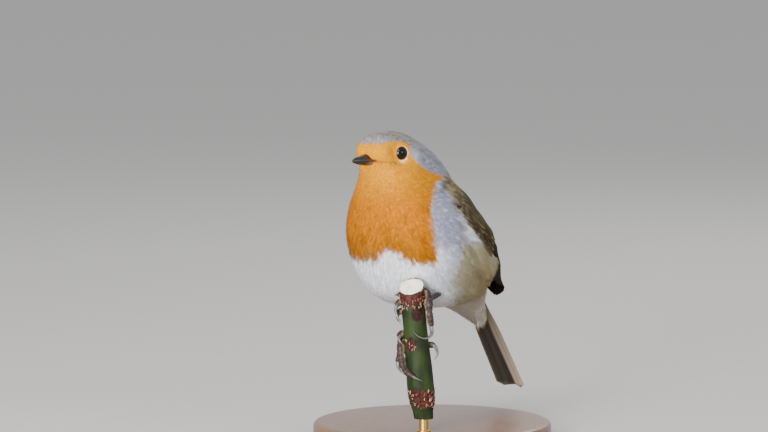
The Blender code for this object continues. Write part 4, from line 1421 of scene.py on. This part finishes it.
class ROBIN_OT_bill(bpy.types.Operator):
    """Model both halves of the bill and the bristles at its corners"""
    bl_idname = "robin.bill"
    bl_label = "Bill"

    def execute(self, context):
        bare = context.scene.robin_body
        horn = scale_material("bill_horn", 0.32, 0.5)
        for part in ("upper", "lower"):
            obj = place_piece("bill_horn_" + part, make_bill(part), horn, ["bill_" + part])
            points = to_bird(obj.data)
            reddish = 1.0 if part == "lower" else 0.45 * soft(points[:, 2], 34.6, 33.0)
            colours = over(bare.bill, bare.bill_base, soft(bill_share(points), 0.55, 0.1) * reddish)
            if part == "upper":
                # The nostril is painted dark: painted shade in its opening.
                _half, y, height = nostril_place()
                hole = np.exp(-((points[:, 1] - y) / 0.6) ** 2 - ((points[:, 2] - height) / 0.28) ** 2)
                colours = colours * (1 - 0.85 * hole[:, None])
            paint(obj.data, colours)
        bristles = make_bristles(np.random.default_rng(SEED + 2))
        hair = place_piece("gape_bristles", bristles, horn)
        paint(hair.data, np.array(bare.bill) * 0.6)
        return {"FINISHED"}


# Perch and feet

# The stem: middle of its cut end, height of its foot, how far it leans sideways for each millimetre
# down, its level side and front, and the slopes of its cut along those two.
STEM_TOP = Vector((17.1, -23.7, -14.7))
STEM_FOOT = -65.0
STEM_LEAN = 0.093
STEM_SIDE = Vector((0.731, 0.682, 0.0))
STEM_FRONT = Vector((0.682, -0.731, 0.0))
STEM_CUT = (math.tan(math.radians(31)), math.tan(math.radians(12)))
# How far the cut face rises for each millimetre in a level direction.
STEM_SLOPE = STEM_FRONT * -STEM_CUT[0] + STEM_SIDE * STEM_CUT[1]
# Rings of the cut face, from the ragged rim of bark over a groove to the wood and its pith: height
# over the cut, and share of the stem's radius.
CUT_RINGS = ((0.12, 0.98), (0.1, 0.93), (-0.22, 0.9), (-0.2, 0.86), (0.12, 0.84), (0.2, 0.78), (0.14, 0.55),
             (0.1, 0.32), (-0.12, 0.28), (-0.18, 0.14))
# Rings along the bark, and sides round it.
STEM_RINGS = 121
STEM_SIDES = 64
# Height, and the stem's radius there.
STEM_GIRTH = ((-65.0, 3.7), (-62.0, 3.9), (-58.5, 4.9), (-55.0, 5.2), (-48.0, 5.05), (-40.0, 4.8),
              (-30.0, 4.55), (-22.0, 4.5), (-14.7, 4.45))
# Red brown scars on the bark: degrees round the stem, height, half width, half height, brightness.
SCARS = ((22.0, -24.6, 2.3, 2.9, 0.4), (-33.0, -36.4, 2.2, 2.6, 0.8), (-8.0, -55.5, 4.2, 2.2, 1.0),
         (24.0, -58.5, 3.6, 1.8, 1.2), (150.0, -45.0, 2.4, 2.4, 0.8))
# Each foot: palm's angle round the stem and height, top of the bare leg, then its toes and claws.
# Angles are degrees round the stem, 0 in front and 90 on the bird's left.
# A toe or claw is a run of (angle, height, stand-off from the bark).
FEET = {
    "left": {
        "palm": (98.0, -19.4), "top": Vector((16.6, -5.6, -18.0)),
        "toe": {"inner": ((119, -17.0, 0), (180, -17.2, 0), (238, -18.2, 0)),
                "middle": ((119, -19.6, 0), (190, -20.2, 0), (266, -21.6, 0)),
                "outer": ((119, -22.2, 0), (190, -23.4, 0), (258, -25.0, 0)),
                "hind": ((73, -20.4, 0.3), (71, -25.0, 0.3), (73, -29.6, 0.4))},
        "claw": {"inner": ((250, -18.0, 0.6), (262, -18.4, -0.4)),
                 "middle": ((277, -23.4, 0.9), (286, -26.0, 0.5), (294, -27.6, -0.5)),
                 "outer": ((270, -26.8, 0.5), (284, -28.8, -0.5)),
                 "hind": ((60, -32.4, 0.9), (32, -33.8, 0.4), (6, -32.6, -0.2), (-8, -30.8, -0.6))}},
    "right": {
        "palm": (203.0, -35.2), "top": Vector((-0.6, -1.8, -23.8)),
        "toe": {"inner": ((224, -33.2, 0), (246, -33.0, 0), (268, -33.6, 0)),
                "middle": ((224, -35.2, 0), (256, -36.0, 0), (272, -39.4, 0), (280, -42.8, 0),
                           (304, -46.0, 0), (338, -48.2, 0)),
                "outer": ((224, -37.9, 0), (246, -38.8, 0.2), (255, -41.0, 0.8), (260, -43.6, 1.4)),
                "hind": ((184, -36.6, 0), (140, -37.4, 0), (101, -37.2, 0.2))},
        "claw": {"inner": ((280, -34.6, 0.5), (291, -36.6, -0.4)),
                 "middle": ((354, -49.0, 0.4), (372, -50.0, -0.5)),
                 "outer": ((263, -45.4, 1.5), (271, -47.0, 0.6), (279, -47.8, -0.3)),
                 "hind": ((95, -38.0, 1.0), (93, -40.4, 1.2), (88, -42.8, -0.3))}}}
# The palm's half length and radius, the radii of a toe and of a claw from root to tip, and a toe's
# distance from the bark.
PALM_HALF = 3.3
PALM_RADIUS = 1.3
TOE_RADII = (1.35, 1.05)
CLAW_RADII = (0.78, 0.1)
TOE_GAP = 0.1
# Pieces between two points of a toe's run.
RUN_STEPS = 10
# Number of pads under each toe.
PADS = {"inner": 3, "middle": 4, "outer": 5, "hind": 2}
# Radius of the shank, and how much more it has at its lower and its upper end.
SHANK_RADIUS = 1.02
SHANK_ENDS = (0.28, 0.25)
# Scales along each pad of a toe, and along the shank.
TOE_SCUTES = 3.2
SHANK_SCUTES = 9.0


def stem_centre(height):
    """The middle of the stem at a height."""
    return Vector((STEM_TOP.x, STEM_TOP.y, height)) + STEM_SIDE * (STEM_TOP.z - height) * STEM_LEAN


def round_stem(angle, height, distance):
    """A point at an angle round the stem and a distance from its middle."""
    a = math.radians(angle)
    return stem_centre(height) + (STEM_FRONT * math.cos(a) + STEM_SIDE * math.sin(a)) * distance


def girth(height):
    """The stem's radius at a height."""
    return float(read(STEM_GIRTH, height))


def from_stem(point):
    """The level direction from the stem's middle to a point."""
    return (point - stem_centre(point.z)).normalized()


def gripping_run(points, steps):
    """A smooth run round the stem."""
    return [round_stem(angle, height, girth(height) + TOE_GAP + TOE_RADII[0] + off)
            for angle, height, off in spline(points, steps)]


def make_toes(side):
    """Four scaled toes with pads, and their claws, as two meshes."""
    foot = FEET[side]
    toes, claws = bmesh.new(), bmesh.new()
    band = toes.verts.layers.float.new("band")
    for toe, pads in PADS.items():
        toe_points, claw_points = foot["toe"][toe], foot["claw"][toe]
        first = toe_points[0]
        lead = ((foot["palm"][0] * 0.65 + first[0] * 0.35, foot["palm"][1] * 0.5 + first[1] * 0.5, 0.0),)
        whole = gripping_run(lead + toe_points + claw_points, RUN_STEPS)
        bare = even_run(whole[:RUN_STEPS * len(toe_points) + 1], 12 * pads + 1)
        radii = np.linspace(TOE_RADII[0], TOE_RADII[1], len(bare))
        share = np.linspace(0, 1, len(bare))
        swell = 0.86 + 0.3 * np.abs(np.sin(share * math.pi * pads)) ** 0.7
        rings = [(r * q * 0.95, r * q) for r, q in zip(radii, swell)]

        def shape(at, x, y, pads=pads):
            if y < 0:
                return x, y * (1 + 0.16 * abs(math.sin(at * math.pi * pads)))
            scute = (at * pads * TOE_SCUTES) % 1.0
            return x * (1 + 0.05 * scute), y * (1 + 0.16 * scute)

        loops = sweep(toes, stations(bare, rings, from_stem), 14, shape)
        for at, loop in zip(share, loops):
            for vert in loop:
                vert[band] = (at * pads * TOE_SCUTES) % 1.0
                vert.co += from_stem(vert.co) * 0.16 * noise.noise(vert.co / 0.7)
        nail = even_run(whole[RUN_STEPS * len(toe_points) - 3:], 18)
        sizes = []
        for k in range(len(nail)):
            f = k / (len(nail) - 1)
            r = CLAW_RADII[0] + (CLAW_RADII[1] - CLAW_RADII[0]) * f ** 1.5
            sizes.append((r * 0.75, r * 1.08))
        sweep(claws, stations(nail, sizes, from_stem), 10)
    return toes, claws


def make_shank(side):
    """The bare lower leg with the palm that its toes spread from."""
    foot = FEET[side]
    angle, height = foot["palm"]
    distance = girth(height) + TOE_GAP + PALM_RADIUS
    knuckle = round_stem(angle, height, distance + 0.6)
    top = foot["top"]
    bm = bmesh.new()
    band = bm.verts.layers.float.new("band")
    run = even_run(spline([knuckle, (knuckle + top) / 2 + Vector((0, 0, -0.3)), top], 12), 46)
    sizes = []
    for k in range(len(run)):
        f = k / (len(run) - 1)
        r = SHANK_RADIUS + SHANK_ENDS[0] * bell(f, 0.10) + SHANK_ENDS[1] * bell(f - 1, 0.12)
        sizes.append((r * 0.86, r))

    def scutes(at, x, y):
        step = (at * SHANK_SCUTES) % 1.0
        return (x * (1 + 0.03 * step), y * (1 + 0.10 * step)) if y > 0 else (x, y)

    loops = sweep(bm, stations(run, sizes, Vector((0, -0.35, -1))), 16, scutes)
    for k, loop in enumerate(loops):
        for vert in loop:
            vert[band] = (k / (len(loops) - 1) * SHANK_SCUTES) % 1.0
    palm = [round_stem(angle, height + PALM_HALF * (1 - q / 9), distance) for q in range(19)]
    bulge = [(PALM_RADIUS * (0.72 + 0.3 * math.sin(math.pi * q / 18) ** 0.5),) * 2 for q in range(19)]
    sweep(bm, stations(palm, bulge, from_stem), 16)
    return bm


def scale_colours(mesh, points, bare, underside):
    """Dark scales with paler rims, and pale skin on the side that grips."""
    grain = mottle(points, 0.8)
    band = stored(mesh, "band")
    dark = np.array(bare.leg) * (0.75 + 0.35 * grain + 1.1 * soft(band, 0.3, 1.0))[:, None]
    return over(dark, bare.pad, soft(underside + grain * 0.35, -0.1, -0.8))


class ROBIN_OT_feet(bpy.types.Operator):
    """Model the scaled legs, toes and claws"""
    bl_idname = "robin.feet"
    bl_label = "Feet"

    def execute(self, context):
        bare = context.scene.robin_body
        scaled = scale_material("leg_scales", 0.45, 0.55, 0.2)
        horn = scale_material("claw_horn", 0.28, 0.6)
        toe_names = ("inner", "middle", "outer", "hind")
        for side in SIDES:
            toes, claws = make_toes(side)
            pieces = {
                "shank_" + side: (make_shank(side), scaled, "leg_scale", ["tarsus_" + side]),
                "toes_" + side: (toes, scaled, "leg_scale", ["toe_%s_%s" % (side, t) for t in toe_names]),
                "claws_" + side: (claws, horn, "horn", ["claw_%s_%s" % (side, t) for t in toe_names])}
            for name, (bm, material, slot, nodes) in pieces.items():
                obj = place_piece(name, bm, material, nodes)
                points = to_bird(obj.data)
                outward = np.array([from_stem(Vector(p)) for p in points])
                normals = np.array([v.normal for v in obj.data.vertices])
                if slot == "horn":
                    tint = 1 + 0.5 * mottle(points, 1.2)[:, None]
                    paint(obj.data, np.array(bare.claw) * tint)
                else:
                    paint(obj.data, scale_colours(obj.data, points, bare, (outward * normals).sum(1)))
        return {"FINISHED"}


def scar_share(points):
    """How far each point of the stem is scarred, from 0 to 1, and how bright the scar is."""
    share, bright = np.zeros(len(points)), np.ones(len(points))
    for angle, height, half, high, light in SCARS:
        spot = round_stem(angle, height, girth(height))
        away = points - spot
        facing = from_stem(spot)
        level = UP.cross(facing)
        near = np.hypot(away @ level / half, away[:, 2] / high) + 0.22 * mottle(points, 1.1, 3.0)
        side = away @ facing > -half
        mine = soft(near, 1.12, 0.88) * side
        bright = np.where(mine > share, light, bright)
        share = np.maximum(share, mine)
    return share, bright


def make_stem():
    """The stem with its swellings, scars, torn bark and slanted cut."""

    def ring(height, radius, tilt):
        across, front = STEM_SIDE * radius, STEM_FRONT * radius
        across.z, front.z = across.dot(STEM_SLOPE) * tilt, front.dot(STEM_SLOPE) * tilt
        turn = Matrix((across, front, UP)).transposed().to_4x4()
        return Matrix.Translation(stem_centre(height)) @ turn

    rings = []
    for share in np.linspace(0, 1, STEM_RINGS):
        height = STEM_FOOT + (STEM_TOP.z - STEM_FOOT) * share
        rings.append(ring(height, girth(height), max(0.0, share * 3 - 2)))
    top, radius = STEM_TOP.z, girth(STEM_TOP.z)
    rings += [ring(top + rise, radius * wide, 1.0) for rise, wide in CUT_RINGS]
    bm = bmesh.new()
    sweep(bm, rings, STEM_SIDES)
    bm.normal_update()
    points = np.array([v.co for v in bm.verts])
    scars = scar_share(points)[0]
    over_cut = (points - STEM_TOP) @ (UP - STEM_SLOPE)
    torn = soft(over_cut, -4.4, -3.0)
    away = np.linalg.norm(points - np.array([stem_centre(z) for z in points[:, 2]]), axis=1)
    bark = soft(away, 3.3, 3.7)
    rough = mottle(points, 0.9, 2.0)
    slow = mottle(points * (1, 1, 0.4), 2.6, 4.0)
    push = (0.12 * slow + scars * (0.30 * rough - 0.22) + torn * (0.42 * rough + 0.12)) * bark
    for vert, far in zip(bm.verts, push):
        vert.co += from_stem(vert.co) * far
    return bm, over_cut


# Groups of torn bark and bud scales: how many, degrees round the stem from and to, height from and to.
FLAKES = ((190, -180.0, 180.0, -20.8, -16.4), (30, -55.0, 0.0, -38.5, -34.4),
          (90, -75.0, 75.0, -60.5, -53.5), (20, 120.0, 180.0, -47.0, -43.0))
# Height over which the flakes follow the slant of the cut.
FLAKES_SLANT_OVER = -25.0


def make_flakes(rng):
    """Small curled scales that stand off the bark."""
    bm = bmesh.new()
    tint = bm.verts.layers.float.new("band")
    for count, low, high, bottom, top in FLAKES:
        for _ in range(count):
            angle = math.radians(rng.uniform(low, high))
            out = STEM_FRONT * math.cos(angle) + STEM_SIDE * math.sin(angle)
            height = rng.uniform(bottom, top)
            if bottom > FLAKES_SLANT_OVER:
                height += out.dot(STEM_SLOPE) * 4.5
            up = Vector((rng.normal(0, 0.35), rng.normal(0, 0.35), rng.choice((-1, 1), p=(0.35, 0.65))))
            side = up.cross(out).normalized()
            lean = (side.cross(out) * rng.uniform(0.8, 1.0) - out * rng.uniform(0.1, 0.5)).normalized()
            turn = Matrix((side, lean.cross(side), lean)).transposed().to_4x4()
            place = stem_centre(height) + out * (girth(height) + rng.uniform(-0.15, 0.15))
            size = Matrix.Diagonal((rng.uniform(0.15, 0.4), rng.uniform(0.08, 0.2),
                                    rng.uniform(0.5, 1.3), 1.0))
            made = bmesh.ops.create_cone(bm, cap_ends=True, segments=6, radius1=1.0, radius2=0.25, depth=1.6,
                                         matrix=Matrix.Translation(place) @ turn @ size)["verts"]
            shade = rng.random()
            for vert in made:
                vert.co += Vector(rng.normal(0, 0.07, 3))
                vert[tint] = shade
    return bm


class ROBIN_OT_stem(bpy.types.Operator):
    """Model the cut rose stem that the feet grip"""
    bl_idname = "robin.stem"
    bl_label = "Stem"

    def execute(self, context):
        look = context.scene.robin_perch
        bm, over_cut = make_stem()
        obj = place_piece("rose_stem", bm, bark_material(), ["perch_stem"], 50.0)
        points = to_bird(obj.data)
        colours = over(look.bark_dark, look.bark, soft(mottle(points * (1, 1, 0.5), 3.5), -0.4, 0.4))
        torn = soft(over_cut + 0.8 * mottle(points, 1.3, 6.0), -4.6, -3.2)
        scars, bright = scar_share(points)
        red = np.array(look.scar) * (bright + 0.6 * mottle(points * (1, 1, 0.6), 0.6, 8.0))[:, None]
        colours = over(colours, red, np.maximum(scars, torn))
        middle = np.linalg.norm(points - STEM_TOP, axis=1)
        wood = soft(over_cut, -0.5, -0.3) * soft(middle, 4.9, 4.6)
        paint(obj.data, over(colours, look.wood, wood))

        flakes = make_flakes(np.random.default_rng(SEED + 3))
        scales = place_piece("bark_flakes", flakes, bark_material())
        shade = stored(scales.data, "band")
        red = np.array(look.scar) * (0.6 + 0.8 * shade)[:, None]
        paint(scales.data, over(red, look.flake, soft(shade, 0.45, 0.95)))
        return {"FINISHED"}


# Stand

# Steps of the base's turned edge: mm inwards from its radius, and share of its height.
BASE_EDGE = ((0.9, 0.0), (0.35, 0.06), (0.0, 0.18), (0.0, 0.42), (0.5, 0.50), (0.5, 0.56), (0.1, 0.64),
             (0.15, 0.80), (0.6, 0.92), (1.4, 0.985), (2.4, 1.0))
# How much wider than the rod the collar at its foot is.
ROD_COLLAR = 1.45


class ROBIN_OT_stand(bpy.types.Operator):
    """Turn the round base and finish the rod"""
    bl_idname = "robin.stand"
    bl_label = "Stand"

    def execute(self, context):
        low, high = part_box("stand_base")
        radius, height = (high.x - low.x) / 2 / MM, (high.z - low.z) / MM
        middle = (low + high) / 2 / MM - BIRD
        floor = low.z / MM - BIRD.z
        bm = bmesh.new()
        edge = [(radius - inward, share * height) for inward, share in BASE_EDGE]
        profile = [(0.0, 0.0)] + edge + [(0.0, height)]
        chain = [bm.verts.new((r, 0.0, z)) for r, z in profile]
        edges = [bm.edges.new(pair) for pair in zip(chain, chain[1:])]
        turn_round(bm, chain + edges, 160)
        bmesh.ops.remove_doubles(bm, verts=bm.verts[:], dist=0.001)
        bmesh.ops.translate(bm, vec=(middle.x, middle.y, floor), verts=bm.verts[:])
        place_piece("turned_base", bm, wood_material(), ["stand_base"], 25.0)

        low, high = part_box("stand_rod")
        centre = (low + high) / 2 / MM - BIRD
        radius = (high.x - low.x) / 2 / MM
        base_top = floor + height
        bm = bmesh.new()
        heights = [base_top - 0.2, base_top + 0.5, base_top + 0.7, high.z / MM - BIRD.z + 0.35]
        widths = [radius * ROD_COLLAR, radius * ROD_COLLAR, radius, radius]
        run = [Vector((centre.x, centre.y, h)) for h in heights]
        sweep(bm, stations(run, [(w, w) for w in widths], Vector((0, -1, 0))), 48)
        place_piece("brass_rod", bm, brass_material(), ["stand_rod"], 30.0)
        return {"FINISHED"}


# Stage

LENS = 200.0
SENSOR = 36.0
# Millimetres that the camera sees from side to side at the bird, and how far the bird stands off the
# middle of the view, as shares of that width.
VIEW_WIDTH = 295.3846
CAMERA_SHIFT = (-0.048177, 0.03125)
CAMERA_TURN = math.radians(43)
CAMERA_RISE = math.radians(6)
SKY_TINT = (0.93, 0.96, 1.0)
# Metres by which the floor lies under the stand, so that no faces touch.
FLOOR_GAP = 0.0002


def camera_axes():
    """Right, up and backward directions of the camera."""
    right = Vector((math.cos(CAMERA_TURN), math.sin(CAMERA_TURN), 0.0))
    back = Vector((math.sin(CAMERA_TURN) * math.cos(CAMERA_RISE),
                   -math.cos(CAMERA_TURN) * math.cos(CAMERA_RISE), math.sin(CAMERA_RISE)))
    return right, back.cross(right), back


def aim(obj, place, target):
    """Stand an object at a place with its -Z axis on a target."""
    turn = (place - target).to_track_quat("Z", "Y").to_matrix().to_4x4()
    obj.matrix_world = Matrix.Translation(place) @ turn


class ROBIN_OT_stage(bpy.types.Operator):
    """Set up the floor, the soft lights and the camera"""
    bl_idname = "robin.stage"
    bl_label = "Stage"

    def execute(self, context):
        stage = context.scene.robin_stage
        right, up, back = camera_axes()
        lens = bpy.data.cameras.new("camera")
        lens.lens = LENS
        lens.sensor_width = SENSOR
        lens.shift_x, lens.shift_y = CAMERA_SHIFT
        lens.clip_end = 10.0
        camera = add_object("camera", lens)
        distance = LENS * VIEW_WIDTH / SENSOR * MM
        camera.matrix_world = Matrix((right, up, back)).transposed().to_4x4()
        camera.location = BIRD * MM + back * distance
        context.scene.camera = camera

        bm = bmesh.new()
        bmesh.ops.create_grid(bm, x_segments=1, y_segments=1, size=6.0)
        mesh = bpy.data.meshes.new("floor")
        bm.to_mesh(mesh)
        bm.free()
        floor = add_object("floor", mesh)
        floor.location.z = -FLOOR_GAP
        material, _shader = start_material("matt_paper", Base_Color=rgba(stage.floor), Roughness=0.9)
        mesh.materials.append(material)

        middle = BIRD * MM
        # Each light: where it stands from the bird, its width in metres and its power.
        for name, offset, size, power in (
                ("key", back * 0.8 - right * 0.3 + up * 0.62, 0.5, stage.key),
                ("low", back * 0.72 - right * 0.3 + up * 0.0, 0.22, stage.key * 1.2),
                ("fill", back * 0.7 + right * 0.7 + up * 0.2, 0.5, stage.key * 0.35),
                ("rim", -back * 0.6 + right * 0.3 + up * 0.7, 0.5, stage.key * 0.4)):
            light = bpy.data.lights.new(name, "AREA")
            light.size = size
            light.energy = power
            aim(add_object(name, light), middle + offset, middle)
        world = bpy.data.worlds.new("studio")
        world.use_nodes = True
        sky = world.node_tree.nodes["Background"]
        sky.inputs["Color"].default_value = rgba(SKY_TINT)
        sky.inputs["Strength"].default_value = stage.sky
        context.scene.world = world
        return {"FINISHED"}


class ROBIN_PT_panel(bpy.types.Panel):
    """The robin's steps, in order"""
    bl_label = "Robin"
    bl_idname = "ROBIN_PT_panel"
    bl_space_type = "VIEW_3D"
    bl_region_type = "UI"
    bl_category = "Robin"

    def draw(self, context):
        for operator in OPERATORS:
            self.layout.operator(operator.bl_idname)


SETTINGS = {"robin_plumage": PlumageSettings, "robin_body": BodySettings, "robin_perch": PerchSettings,
            "robin_stage": StageSettings}
OPERATORS = (ROBIN_OT_skin, ROBIN_OT_coat, ROBIN_OT_wings, ROBIN_OT_tail, ROBIN_OT_eyes, ROBIN_OT_bill,
             ROBIN_OT_feet, ROBIN_OT_stem, ROBIN_OT_stand, ROBIN_OT_stage)
CLASSES = (*SETTINGS.values(), *OPERATORS, ROBIN_PT_panel)


def register():
    for cls in CLASSES:
        bpy.utils.register_class(cls)
    for name, group in SETTINGS.items():
        setattr(bpy.types.Scene, name, bpy.props.PointerProperty(type=group))


def unregister():
    for name in SETTINGS:
        delattr(bpy.types.Scene, name)
    for cls in reversed(CLASSES):
        bpy.utils.unregister_class(cls)


def main():
    """Build every piece in order."""
    register()
    for operator in OPERATORS:
        family, name = operator.bl_idname.split(".")
        getattr(getattr(bpy.ops, family), name)()


if __name__ == "__main__":
    main()
